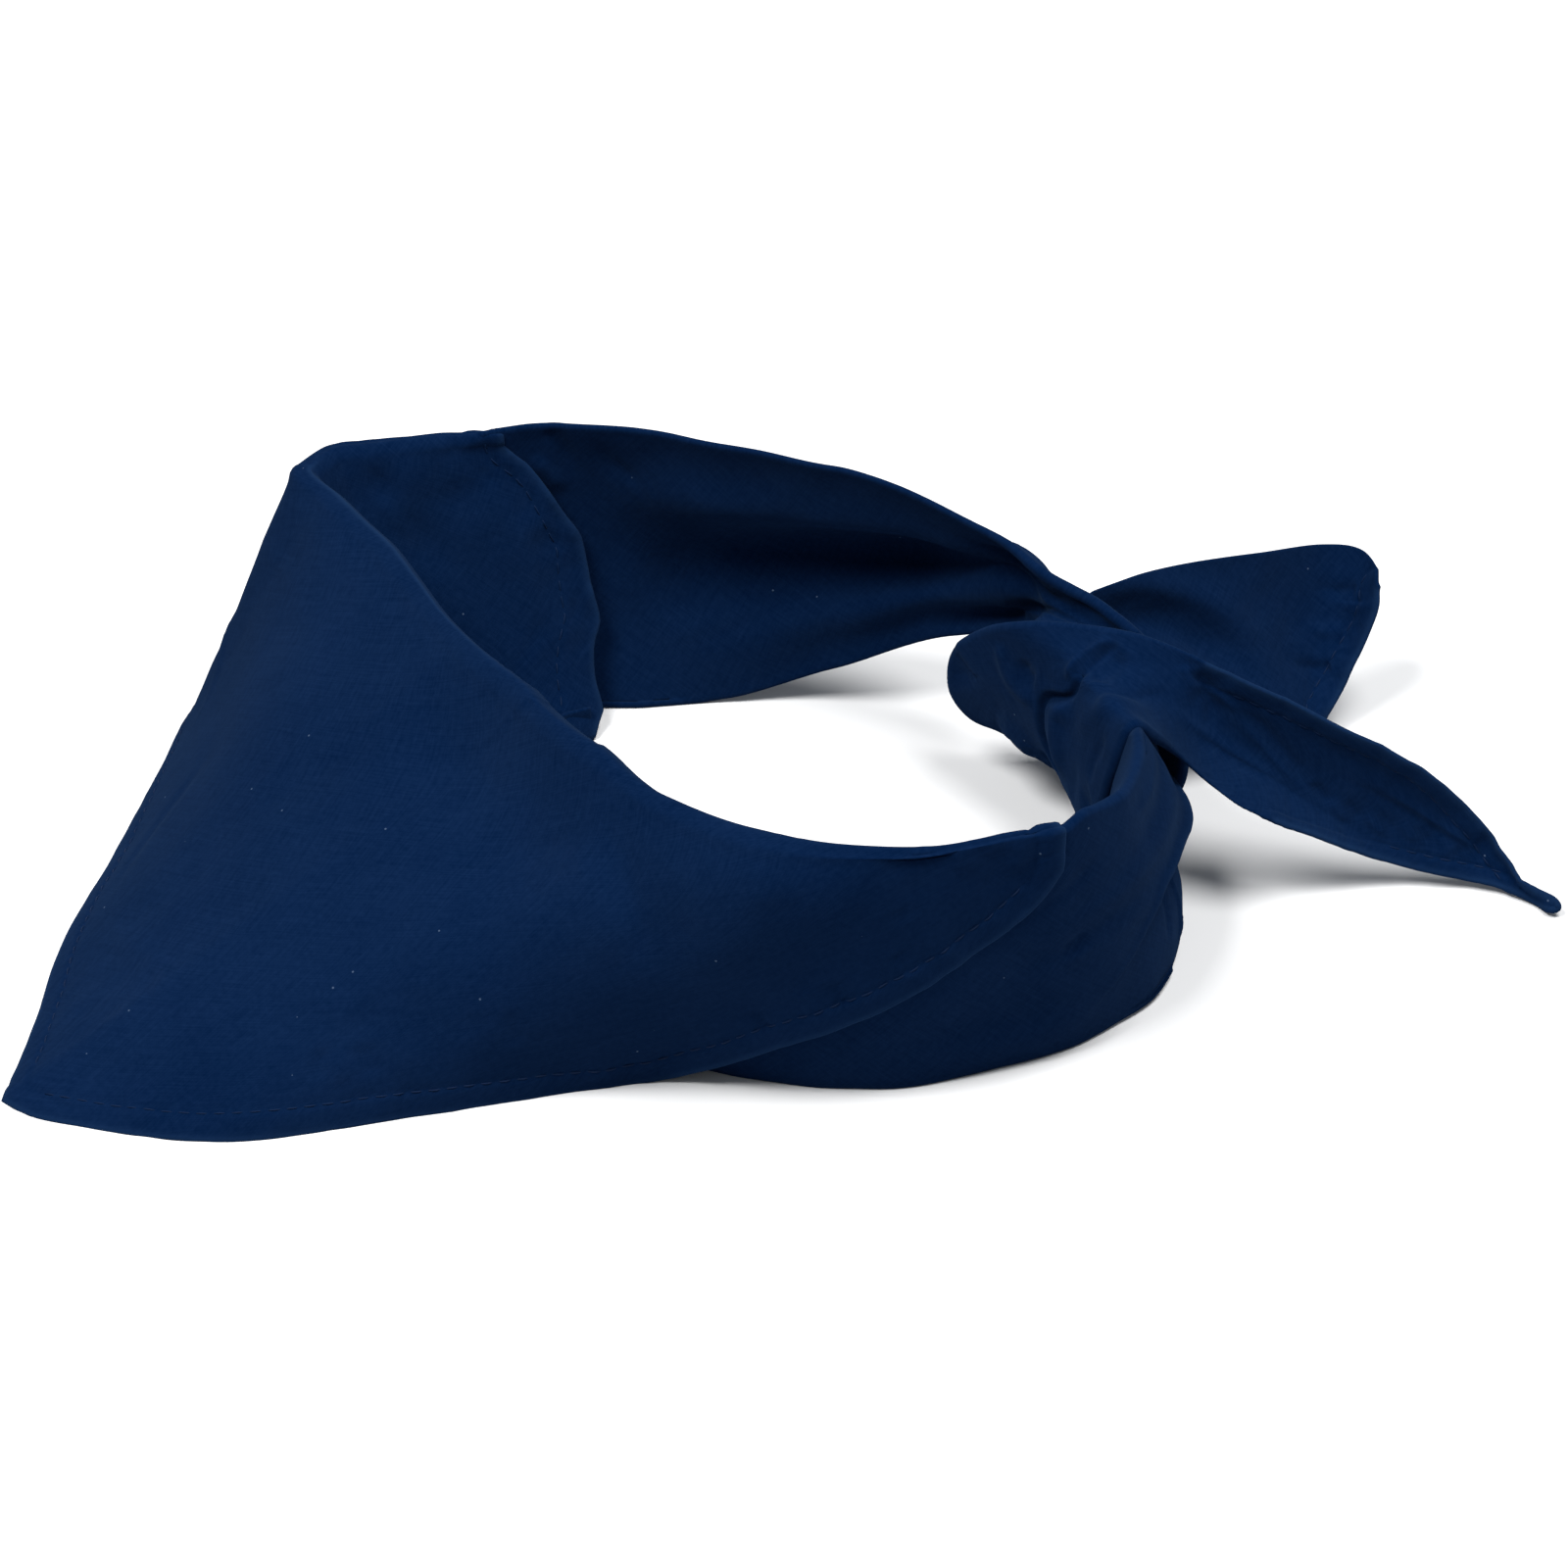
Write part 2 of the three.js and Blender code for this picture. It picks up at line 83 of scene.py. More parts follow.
def table(columns, rows):
    """Rows of numbers as arrays, with a name for each column."""
    return {name: np.array([row[i] for row in rows], float) for i, name in enumerate(columns.split())}


def slopes(x, y):
    """The slope of a column at each row, with no overshoot where the column turns back."""
    steps = np.diff(y) / np.diff(x)
    before, after = steps[:-1], steps[1:]
    same = before * after > 0
    result = np.zeros(len(x))
    result[1:-1][same] = 2 * before[same] * after[same] / (before[same] + after[same])
    return result


def read_at(rows, value):
    """All the columns at values of the first one, on smooth curves through the rows."""
    x = next(iter(rows.values()))
    at = np.clip(value, x[0], x[-1])
    i = np.clip(np.searchsorted(x, at) - 1, 0, len(x) - 2)
    span = x[i + 1] - x[i]
    t = (at - x[i]) / span
    result = {}
    for name, y in rows.items():
        m = slopes(x, y)
        rise = y[i + 1] - y[i]
        bend = (1 - t) * (m[i] * span - rise) + t * (rise - m[i + 1] * span)
        result[name] = y[i] + t * rise + t * (1 - t) * bend
    return result


def on_curve(rows, place):
    """All the columns at places from 0, the first row, to the last one, on a smooth curve."""
    count = len(next(iter(rows.values())))
    i = np.clip(np.floor(place).astype(int), 0, count - 2)
    t = place - i
    result = {}
    for name, y in rows.items():
        a, b, c, d = y[np.maximum(i - 1, 0)], y[i], y[i + 1], y[np.minimum(i + 2, count - 1)]
        bend = (2 * a - 5 * b + 4 * c - d) * t**2 + (3 * b - a - 3 * c + d) * t**3
        result[name] = b + 0.5 * ((c - a) * t + bend)
    return result


def unit(v):
    return v / np.maximum(np.linalg.norm(v, axis=-1, keepdims=True), 1e-9)


def lengths(points):
    """How far along a line each of its points is."""
    steps = np.linalg.norm(np.diff(points, axis=0), axis=-1)
    return np.concatenate([[0], np.cumsum(steps)])


def smooth_step(x):
    x = np.clip(x, 0, 1)
    return x * x * (3 - 2 * x)


# The form of the band and the flap: the solids' own, but for rows by the knot and at the hems

NECK_BAND = table("turn topR topZ midR footR footZ", [
    [-176, 66.5, 50.5, 74, 74, 28],
    [-155, 61.4, 55, 70, 68.5, 18.5],
    [-135, 60.7, BAND_TOP, 66, 62, 7.5],
    [-115, 65.8, BAND_TOP, 68.5, 60.5, 1],
    [-100, 74, BAND_TOP, 73, 61.5, 0],
    [-90, 80.8, BAND_TOP, 77, 65, 0],
    [-84, 84.6, BAND_TOP, 79, 67, 0],
    [-77, 90.5, BAND_TOP, 83, 70, 0],
    [-70, 97.5, BAND_TOP, 89, 75, 0],
    [-66, 101.5, BAND_TOP, 93, 79, 0],
    [-61.5, 101, BAND_TOP, 94, 82, 0],
    [-58, 90, BAND_TOP, 86, 79, 0],
    [-50, 71, BAND_TOP, 70, 68, 0],
    [-38, 58.5, BAND_TOP, 58.5, 58, 0],
    [-23, 49.6, BAND_TOP, 50, 50, 0],
    [0, 43, BAND_TOP, 44, 45, 0],
    [26, 45, BAND_TOP, 47, 48, 0],
    [50, 55, BAND_TOP, 58, 58.5, 0],
    [68, 65.5, BAND_TOP, 67, 64, 0],
    [79, 71, BAND_TOP, 72, 68.5, 0],
    [88, 75.3, BAND_TOP, 76, 72.5, 0],
    [100, 80.8, BAND_TOP, 81, 76.5, 0],
    [109, 85, 56, 85, 81, 0],
    [118, 84.8, 52.5, 87.5, 85, 0],
    [128, 81.5, 48.5, 88, 88.5, 0],
    [138, 78, 45.5, 86.4, 88, 0],
    [148, 74.5, 42.5, 83.4, 85.6, 0],
    [156, 70, 38.5, 79.5, 82, 0],
    [164, 62, 34, 71, 75, 0],
])
FLAP_FAR = table("turn hemX hemY hemZ swell", [
    [-84, -84.5, -12, 52, 0.1],
    [-77, -86.5, -24, 42, 0.1],
    [-70, -89.5, -40, 28, 0.05],
    [-66, -92, -57, 13, 0.02],
    [-61.5, -92.5, -73, 1, 0.02],
    [-58, -83, -82.5, 0, 0.05],
    [-50, -60.5, -102.5, 0, 0.2],
    [-38, -39.5, -121.5, 0, 0.3],
    [-23, -18.5, -137, 0, 0.35],
    [-6, 1.5, -152, 0, 0.35],
])
FLAP_NEAR = table("turn hemX hemY hemZ swell", [
    [-6, 1.5, -152, 0, 0.35],
    [0.6, 11.6, -145.7, 0, 0.35],
    [26, 30.8, -120.6, 0, 0.35],
    [50, 40.3, -84.5, 0, 0.35],
    [67, 49.2, -47, 0, 0.35],
    [73, 56.5, -34, 4.5, 0.3],
    [79, 64, -24, 11.5, 0.25],
    [88, 74, -8, 21.5, 0.15],
    [99.5, 81, 10, 33, 0.1],
    [104.5, 83, 20, 41, 0.1],
    [107, 83.5, 24.5, 47, 0.1],
])
INNER_SLACK = table("turn foot", [
    [-94, 7], [-85, 11], [-70, 13], [-60, 15], [-48, 11], [-30, 7], [0, 4], [60, 3], [110, 3],
])
INNER_HEM_FAR = table("height turn", [
    [0, -87], [0.06, -90.8], [0.12, -90.8], [0.24, -92.2], [0.34, -94.4], [0.44, -94], [0.61, -93.8],
    [0.72, -91.6], [0.91, -87.6], [1, -85],
])
INNER_HEM_NEAR = table("height turn", [[0, 93], [0.3, 98], [0.7, 103], [1, 106]])


def around(turn, radius, z):
    angle = np.radians(turn)
    parts = np.broadcast_arrays(radius * np.sin(angle), -radius * np.cos(angle), z)
    return np.stack(parts, -1)


def band_point(turn, height, outward=0.0):
    """A point of the band at a share of its height, moved away from the neck."""
    def place(at):
        row = read_at(NECK_BAND, at)
        sag = row["midR"] - (row["topR"] + row["footR"]) / 2
        lean = (row["topR"] - row["footR"]) * height
        radius = row["footR"] + lean + 4 * sag * height * (1 - height)
        return around(at, radius, row["footZ"] + (row["topZ"] - row["footZ"]) * height)
    out = unit(np.cross(place(turn + 1) - place(turn - 1), UP))
    return place(turn) + out * np.asarray(outward)[..., None]


def lie_on(p, between):
    """Moves points outwards, where they would lie inside the band's face with this much between."""
    turn = np.degrees(np.arctan2(p[..., 0], -p[..., 1]))
    row = read_at(NECK_BAND, turn)
    height = np.clip((p[..., 2] - row["footZ"]) / (row["topZ"] - row["footZ"]), 0, 1)
    face = band_point(turn, height)
    out = band_point(turn, height, 1.0) - face
    slant = np.maximum((out * around(turn, 1.0, 0.0)).sum(-1), LEAST_SLANT)
    least = np.hypot(face[..., 0], face[..., 1]) + between / slant
    reach = np.hypot(p[..., 0], p[..., 1])
    clear = (reach - least) / SOFT_TOUCH
    touched = least + SOFT_TOUCH * np.log1p(np.exp(np.minimum(clear, FAR_CLEAR)))
    scale = np.where(clear > FAR_CLEAR, reach, touched) / reach
    return p * np.stack([scale, scale, np.ones_like(scale)], -1)


# Cloth on a grid

class Cloth:
    """A stretch of cloth: a grid of middle points, columns first, with a label for each column and
    row, how far its relief stands out of them, and half its thickness there."""

    def __init__(self, name, middle, columns, rows, ply, outside):
        self.name = name
        self.middle = middle
        self.columns = np.asarray(columns, float)
        self.rows = np.asarray(rows, float)
        along = np.gradient(middle, axis=0)
        across = np.gradient(middle, axis=1)
        self.out = unit(np.cross(along, across))
        if (self.out * outside).sum() < 0:
            self.out = -self.out
        self.relief = np.zeros(middle.shape[:2])
        self.half = np.full(middle.shape[:2], ply / 2)
        self.pale = np.zeros(middle.shape[:2])
        flat_along = np.linalg.norm(along, axis=-1)
        flat_across = np.linalg.norm(across, axis=-1)
        self.flat = np.stack([np.cumsum(flat_along, 0), np.cumsum(flat_across, 1)], -1)

    def at(self, column, row, grid=None):
        """A grid's value at a label of the columns and one of the rows."""
        grid = self.middle if grid is None else grid
        i = np.interp(column, self.columns, np.arange(len(self.columns)))
        j = np.interp(row, self.rows, np.arange(len(self.rows)))
        i0 = np.minimum(i.astype(int), len(self.columns) - 2)
        j0 = np.minimum(j.astype(int), len(self.rows) - 2)
        a, b = (i - i0)[..., None], (j - j0)[..., None]
        low = grid[i0, j0] * (1 - b) + grid[i0, j0 + 1] * b
        high = grid[i0 + 1, j0] * (1 - b) + grid[i0 + 1, j0 + 1] * b
        return low * (1 - a) + high * a

    def crease(self, width, depth, *through, fade=(0.35, 0.35), lean=1.0):
        """A soft ridge, or a trough if depth is below 0, through places given by their labels. It
        fades over a share of its length at each end, and is lean times as wide on one side."""
        places = table("u v", through)
        course = on_curve(places, np.linspace(0, len(through) - 1, 90))
        line = self.at(course["u"], course["v"])
        run = lengths(line)
        count = max(8, int(run[-1] / (CREASE_STEP * width)))
        even = np.linspace(0, run[-1], count)
        line = np.stack([np.interp(even, run, line[:, k]) for k in range(3)], -1)
        ahead = unit(np.gradient(line, axis=0))
        reach = 3.2 * width * max(lean, 1)
        near = ((self.middle > line.min(0) - reach) & (self.middle < line.max(0) + reach)).all(-1)
        points, out = self.middle[near], self.out[near]
        gaps = np.linalg.norm(points[:, None] - line[None], axis=-1)
        k = gaps.argmin(1)
        side = (np.cross(ahead[k], points - line[k]) * out).sum(-1)
        wide = np.where(side > 0, width * lean, width)
        share = k / (count - 1)
        enter = smooth_step(share / fade[0]) if fade[0] else 1.0
        leave = smooth_step((1 - share) / fade[1]) if fade[1] else 1.0
        self.relief[near] += depth * np.exp(-(gaps.min(1) / wide) ** 2) * enter * leave

    def from_line(self, line):
        """How far each point of the grid is from a line, and how far along the line that is."""
        run = lengths(line)
        even = np.arange(0, run[-1], 0.4)
        points = np.stack([np.interp(even, run, line[:, k]) for k in range(3)], -1)
        tree = kdtree.KDTree(len(points))
        for k, p in enumerate(points):
            tree.insert(p, k)
        tree.balance()
        found = [tree.find(p)[1:] for p in self.middle.reshape(-1, 3)]
        away = np.array([f[1] for f in found]).reshape(self.relief.shape)
        along = even[np.array([f[0] for f in found])].reshape(self.relief.shape)
        return away, along

    def hem(self, line, seed, width=HEM_WIDTH, puckers=1.0):
        """A turned hem along a line of the grid's edge: thicker cloth, a groove at its stitches,
        and puckers of uneven size that run out from them. Returns how far each point is from it."""
        away, along = self.from_line(line)
        wide = width(along) if callable(width) else np.full_like(away, width)
        turned = smooth_step((wide + 0.4 - away) / 0.8)
        self.half += HEM_HALF * turned
        self.relief -= GROOVE * np.exp(-(((away - wide) / GROOVE_WIDTH) ** 2))
        self.relief += HEM_SWELL * turned * np.sin(np.pi * np.clip(away / wide, 0, 1))
        self.pale = np.maximum(self.pale, 0.6 * np.exp(-((away / 0.8) ** 2)))
        dice = random.Random(seed)
        place = dice.uniform(0, 5)
        while place < along.max():
            size = dice.uniform(1.2, 3.2)
            depth = puckers * dice.choice((-1, -1, 1)) * dice.uniform(0.1, 0.42)
            slant, reach = dice.gauss(0, 0.35), dice.uniform(3, 11)
            past = away - wide
            sideways = (along - place - slant * past) / size
            self.relief += depth * np.exp(-(sideways**2) - (past / reach) ** 2)
            place += size + dice.uniform(1.5, 7.5)
        return away, wide

    def rumple(self, seed, deep, length):
        """Slow unevenness of the whole stretch: deep is its height, and length its size."""
        shift = Vector((seed * 7.3, seed * 3.1, seed * 5.7))
        values = [noise.noise(Vector(p) / length + shift) for p in self.middle.reshape(-1, 3)]
        self.relief += deep * np.array(values).reshape(self.relief.shape)

    def scatter(self, seed, count, size, depth, heading=None, rows=(0.05, 0.95)):
        """Short faint creases of uneven size, strewn over the stretch."""
        dice = random.Random(seed)
        for _ in range(count):
            u = dice.uniform(self.columns[0], self.columns[-1])
            v = dice.uniform(*rows)
            start = self.at(np.array([u]), np.array([v]))[0]
            length = dice.uniform(*size)
            angle = dice.gauss(*heading) if heading else dice.uniform(0, math.pi)
            du = (self.columns[-1] - self.columns[0]) / max(lengths(self.middle[:, -1])[-1], 1)
            tall = lengths(self.middle[len(self.columns) // 2])[-1]
            dv = (self.rows[-1] - self.rows[0]) / max(tall, 1)
            end = (u + du * length * math.cos(angle), v + dv * length * math.sin(angle))
            deep = dice.choice((-1, 1)) * dice.uniform(*depth)
            if np.isfinite(start).all():
                self.crease(dice.uniform(1.2, 3.5), deep, (u, v), end, lean=dice.uniform(0.6, 1.8))

    def faces_points(self):
        """The outer and the inner face."""
        outer = self.middle + self.out * (self.relief + self.half)[..., None]
        inner = self.middle + self.out * (self.relief - self.half)[..., None]
        outer[..., 2] = np.maximum(outer[..., 2], FLOOR_CLEAR)
        inner[..., 2] = np.maximum(inner[..., 2], FLOOR_CLEAR)
        return outer, inner

    def build(self, material):
        """The closed mesh: both faces, and a half-round rim all round."""
        outer, inner = self.faces_points()
        n, m = self.relief.shape
        rim = [(i, 0) for i in range(n)] + [(n - 1, j) for j in range(1, m)]
        rim += [(i, m - 1) for i in range(n - 2, -1, -1)] + [(0, j) for j in range(m - 2, 0, -1)]
        at = np.array(rim)
        centre = (outer + inner)[at[:, 0], at[:, 1]] / 2
        half = (outer - inner)[at[:, 0], at[:, 1]] / 2
        beside = np.roll(centre, -1, 0) - np.roll(centre, 1, 0)
        away = unit(np.cross(unit(beside), half))
        inside = self.middle[np.clip(at[:, 0], 1, n - 2), np.clip(at[:, 1], 1, m - 2)]
        facing = np.sign(((centre - inside) * away).sum(-1, keepdims=True))
        away = away * facing * np.linalg.norm(half, axis=-1, keepdims=True)
        rings = [centre + half * math.cos(a) + away * math.sin(a) for a in np.radians([45, 90, 135])]
        points = np.concatenate([outer.reshape(-1, 3), inner.reshape(-1, 3), *rings])
        points[:, 2] = np.maximum(points[:, 2], FLOOR_CLEAR)
        grid = np.arange(n * m).reshape(n, m)
        quads = np.stack([grid[:-1, :-1], grid[1:, :-1], grid[1:, 1:], grid[:-1, 1:]], -1).reshape(-1, 4)
        border = grid[at[:, 0], at[:, 1]]
        turns = [2 * n * m + k * len(rim) + np.arange(len(rim)) for k in range(3)]
        loops = [border, *turns, border + n * m]
        bands = [np.stack([a, np.roll(a, -1), np.roll(b, -1), b], -1) for a, b in zip(loops, loops[1:])]
        faces = np.concatenate([quads[:, ::-1], quads + n * m, *bands])
        flat = self.flat.reshape(-1, 2)
        pale = self.pale.reshape(-1)
        relief = self.relief.reshape(-1)
        each = [flat, flat] + [flat[border]] * 3
        shades = [pale, pale] + [pale[border]] * 3
        heights = [relief, -relief] + [relief[border]] * 3
        piece = mesh_object(self.name, points, faces.tolist(), material)
        turned_threads(piece, np.concatenate(each))
        point_values(piece, "pale", np.concatenate(shades))
        point_values(piece, "relief", np.concatenate(heights))
        return piece


def mesh_object(name, points, faces, material):
    """A smooth mesh from points in millimetres about the neck's middle."""
    mesh = bpy.data.meshes.new(name)
    mesh.from_pydata(((points + NECK_MIDDLE) * MM).tolist(), [], faces)
    mesh.polygons.foreach_set("use_smooth", [True] * len(mesh.polygons))
    mesh.validate()
    mesh.update()
    piece = bpy.data.objects.new(name, mesh)
    bpy.context.scene.collection.objects.link(piece)
    mesh.materials.append(material)
    face_outwards(mesh)
    return piece


def face_outwards(mesh):
    """Turns all the faces over if the closed mesh has its inside out."""
    points = np.array([v.co for v in mesh.vertices], float)
    mesh.calc_loop_triangles()
    corners = np.array([t.vertices for t in mesh.loop_triangles])
    a, b, c = (points[corners[:, k]] for k in range(3))
    volume = (a * np.cross(b, c)).sum()
    if volume < 0:
        mesh.flip_normals()


def turned_threads(piece, flat):
    """The threads run at 45 degrees to the folds, which lie along the long edge of the cut."""
    turned = np.stack([flat[:, 0] + flat[:, 1], flat[:, 1] - flat[:, 0]], -1) * math.sqrt(0.5) * MM
    layer = piece.data.uv_layers.new(name="threads")
    corner = np.zeros(len(piece.data.loops), int)
    piece.data.loops.foreach_get("vertex_index", corner)
    layer.data.foreach_set("uv", turned[corner].ravel())


def point_values(piece, name, values):
    attribute = piece.data.attributes.new(name, "FLOAT", "POINT")
    attribute.data.foreach_set("value", values.astype(np.float32))


# Materials

def group(name, inputs, outputs):
    """A shader node group with named sockets. Returns the group and its input and output nodes."""
    made = bpy.data.node_groups.new(name, "ShaderNodeTree")
    for label, kind, value in inputs:
        socket = made.interface.new_socket(label, in_out="INPUT", socket_type=kind)
        if value is not None:
            socket.default_value = value
    for label, kind in outputs:
        made.interface.new_socket(label, in_out="OUTPUT", socket_type=kind)
    return made, made.nodes.new("NodeGroupInput"), made.nodes.new("NodeGroupOutput")


def node(tree, kind, values=None, **settings):
    """A node with its settings, and values or links for its inputs."""
    made = tree.nodes.new(kind)
    for key, value in settings.items():
        setattr(made, key, value)
    for key, value in (values or {}).items():
        if isinstance(value, bpy.types.NodeSocket):
            tree.links.new(value, made.inputs[key])
        else:
            made.inputs[key].default_value = value
    return made


def sum_of(tree, operation, a, b, clamp=False):
    return node(tree, "ShaderNodeMath", {0: a, 1: b}, operation=operation, use_clamp=clamp).outputs[0]


def plain_weave():
    """One thread over, one under: the height of the threads, with slubs where they run thick."""
    made, given, result = group(
        "plain weave",
        [("Threads", "NodeSocketVector", None), ("Pitch", "NodeSocketFloat", 0.0004)],
        [("Height", "NodeSocketFloat"), ("Slub", "NodeSocketFloat")])
    turns = sum_of(made, "DIVIDE", math.pi, given.outputs["Pitch"])
    threads = given.outputs["Threads"]
    scaled = node(made, "ShaderNodeVectorMath", {0: threads, "Scale": turns}, operation="SCALE")
    split = node(made, "ShaderNodeSeparateXYZ", {0: scaled.outputs[0]})
    warp = node(made, "ShaderNodeMath", {0: split.outputs["X"]}, operation="SINE").outputs[0]
    weft = node(made, "ShaderNodeMath", {0: split.outputs["Y"]}, operation="SINE").outputs[0]
    both = sum_of(made, "MULTIPLY", warp, weft)
    bump = node(made, "ShaderNodeMath", {0: both}, operation="ABSOLUTE").outputs[0]
    slubs = []
    for stretch in ((2600, 90, 1), (90, 2600, 1)):
        run = node(made, "ShaderNodeVectorMath", {0: threads, 1: stretch}, operation="MULTIPLY")
        thick = node(made, "ShaderNodeTexNoise", {"Vector": run.outputs[0], "Scale": 1.0, "Detail": 2.0})
        slubs.append(thick.outputs["Fac"])
    slub = sum_of(made, "SUBTRACT", sum_of(made, "ADD", *slubs), 1.0)
    height = sum_of(made, "ADD", bump, sum_of(made, "MULTIPLY", slub, 1.6))
    made.links.new(height, result.inputs["Height"])
    made.links.new(slub, result.inputs["Slub"])
    return made


def lint():
    """Sparse pale specks, such as fluff that clings to dark cotton."""
    made, given, result = group(
        "lint",
        [("Place", "NodeSocketVector", None), ("Per metre", "NodeSocketFloat", 420.0),
         ("Size", "NodeSocketFloat", 0.09), ("Share", "NodeSocketFloat", 0.035)],
        [("Mask", "NodeSocketFloat")])
    cells = node(made, "ShaderNodeTexVoronoi",
                 {"Vector": given.outputs["Place"], "Scale": given.outputs["Per metre"]})
    speck = sum_of(made, "LESS_THAN", cells.outputs["Distance"], given.outputs["Size"])
    lucky = node(made, "ShaderNodeSeparateColor", {0: cells.outputs["Color"]})
    chosen = sum_of(made, "LESS_THAN", lucky.outputs[0], given.outputs["Share"])
    made.links.new(sum_of(made, "MULTIPLY", speck, chosen), result.inputs["Mask"])
    return made


def faded():
    """How uneven the dye is: slow clouds and a fine grain, from 0 to 1."""
    made, given, result = group(
        "uneven dye",
        [("Place", "NodeSocketVector", None), ("Clouds", "NodeSocketFloat", 28.0),
         ("Grain", "NodeSocketFloat", 900.0)],
        [("Fade", "NodeSocketFloat"), ("Crumple", "NodeSocketFloat")])
    cloud = node(made, "ShaderNodeTexNoise",
                 {"Vector": given.outputs["Place"], "Scale": given.outputs["Clouds"], "Detail": 3.0})
    grain = node(made, "ShaderNodeTexNoise",
                 {"Vector": given.outputs["Place"], "Scale": given.outputs["Grain"], "Detail": 2.0})
    crumple = node(made, "ShaderNodeTexNoise",
                   {"Vector": given.outputs["Place"], "Scale": 190.0, "Detail": 4.0, "Roughness": 0.55})
    mixed = sum_of(made, "ADD", sum_of(made, "MULTIPLY", cloud.outputs["Fac"], 0.55),
                   sum_of(made, "MULTIPLY", grain.outputs["Fac"], 0.45), clamp=True)
    made.links.new(mixed, result.inputs["Fade"])
    made.links.new(crumple.outputs["Fac"], result.inputs["Crumple"])
    return made


WEAVE, LINT, DYE = plain_weave(), lint(), faded()
DEEP_NAVY = (0.0003, 0.0045, 0.0205, 1)
PALE_NAVY = (0.0022, 0.0092, 0.0325, 1)
WEAR_AND_HIGHLIGHT_NAVY = (0.0070, 0.0210, 0.0560, 1)
LINT_PALE = (0.06, 0.09, 0.14, 1)


def use(tree, made, values):
    placed = tree.nodes.new("ShaderNodeGroup")
    placed.node_tree = made
    for key, value in values.items():
        if isinstance(value, bpy.types.NodeSocket):
            tree.links.new(value, placed.inputs[key])
        else:
            placed.inputs[key].default_value = value
    return placed


def mix(tree, share, a, b):
    made = node(tree, "ShaderNodeMix", data_type="RGBA")
    for socket, value in ((made.inputs[0], share), (made.inputs[6], a), (made.inputs[7], b)):
        if isinstance(value, bpy.types.NodeSocket):
            tree.links.new(value, socket)
        else:
            socket.default_value = value
    return made.outputs[2]


def cotton(name="navy cotton"):
    """Plain-woven navy cotton with a soft nap, uneven dye, pale worn hem edges, painted highlights along the
    fold and the tucked lip, and a little lint.
    """
    material = bpy.data.materials.new(name)
    material.use_nodes = True
    tree = material.node_tree
    shader = tree.nodes["Principled BSDF"]
    place = node(tree, "ShaderNodeTexCoord").outputs["Object"]
    threads = node(tree, "ShaderNodeUVMap", uv_map="threads").outputs["UV"]
    weave = use(tree, WEAVE, {"Threads": threads, "Pitch": 0.0004})
    dye = use(tree, DYE, {"Place": place, "Clouds": 28.0, "Grain": 900.0})
    specks = use(tree, LINT, {"Place": place, "Per metre": 420.0, "Size": 0.09, "Share": 0.03})
    wear_and_highlight = node(tree, "ShaderNodeAttribute", attribute_name="pale").outputs["Fac"]
    uneven = sum_of(tree, "ADD", dye.outputs["Fade"], sum_of(tree, "MULTIPLY", weave.outputs["Slub"], 0.5))
    spread = node(tree, "ShaderNodeMapRange", {0: uneven, 1: 0.25, 2: 0.8}).outputs[0]
    base = mix(tree, spread, DEEP_NAVY, PALE_NAVY)
    # Paler navy where the "pale" attribute says: worn hem edges, and painted highlights along the flap's fold
    # and the lip by the knot.
    base = mix(tree, sum_of(tree, "MULTIPLY", wear_and_highlight, 0.6), base, WEAR_AND_HIGHLIGHT_NAVY)
    base = mix(tree, sum_of(tree, "MULTIPLY", specks.outputs["Mask"], 0.55), base, LINT_PALE)
    tree.links.new(base, shader.inputs["Base Color"])
    rough = node(tree, "ShaderNodeMapRange", {0: dye.outputs["Fade"], 3: 0.7, 4: 0.9}).outputs[0]
    tree.links.new(rough, shader.inputs["Roughness"])
    shader.inputs["Specular IOR Level"].default_value = 0.0
    shader.inputs["Sheen Weight"].default_value = 0.03
    shader.inputs["Sheen Roughness"].default_value = 0.6
    shader.inputs["Sheen Tint"].default_value = (0.28, 0.52, 0.95, 1)
    height = sum_of(tree, "ADD", sum_of(tree, "MULTIPLY", weave.outputs["Height"], 0.010),
                    sum_of(tree, "MULTIPLY", dye.outputs["Crumple"], 0.55))
    bump = node(tree, "ShaderNodeBump", {"Height": height, "Strength": 0.5, "Distance": 0.0006})
    tree.links.new(bump.outputs["Normal"], shader.inputs["Normal"])
    return material


def sewing_thread(name="navy thread"):
    """Twisted cotton thread, a shade paler and a little shinier than the cloth."""
    material = bpy.data.materials.new(name)
    material.use_nodes = True
    tree = material.node_tree
    shader = tree.nodes["Principled BSDF"]
    place = node(tree, "ShaderNodeTexCoord").outputs["Object"]
    dye = use(tree, DYE, {"Place": place, "Clouds": 60.0, "Grain": 2500.0})
    base = mix(tree, dye.outputs["Fade"], (0.0004, 0.0050, 0.0215, 1), (0.0022, 0.0110, 0.0380, 1))
    tree.links.new(base, shader.inputs["Base Color"])
    bump = node(tree, "ShaderNodeBump",
                {"Height": dye.outputs["Crumple"], "Strength": 0.3, "Distance": 0.0002})
    tree.links.new(bump.outputs["Normal"], shader.inputs["Normal"])
    shader.inputs["Roughness"].default_value = 0.6
    shader.inputs["Specular IOR Level"].default_value = 0.06
    return material


NAVY = cotton()
THREAD_NAVY = sewing_thread()


# Stitches

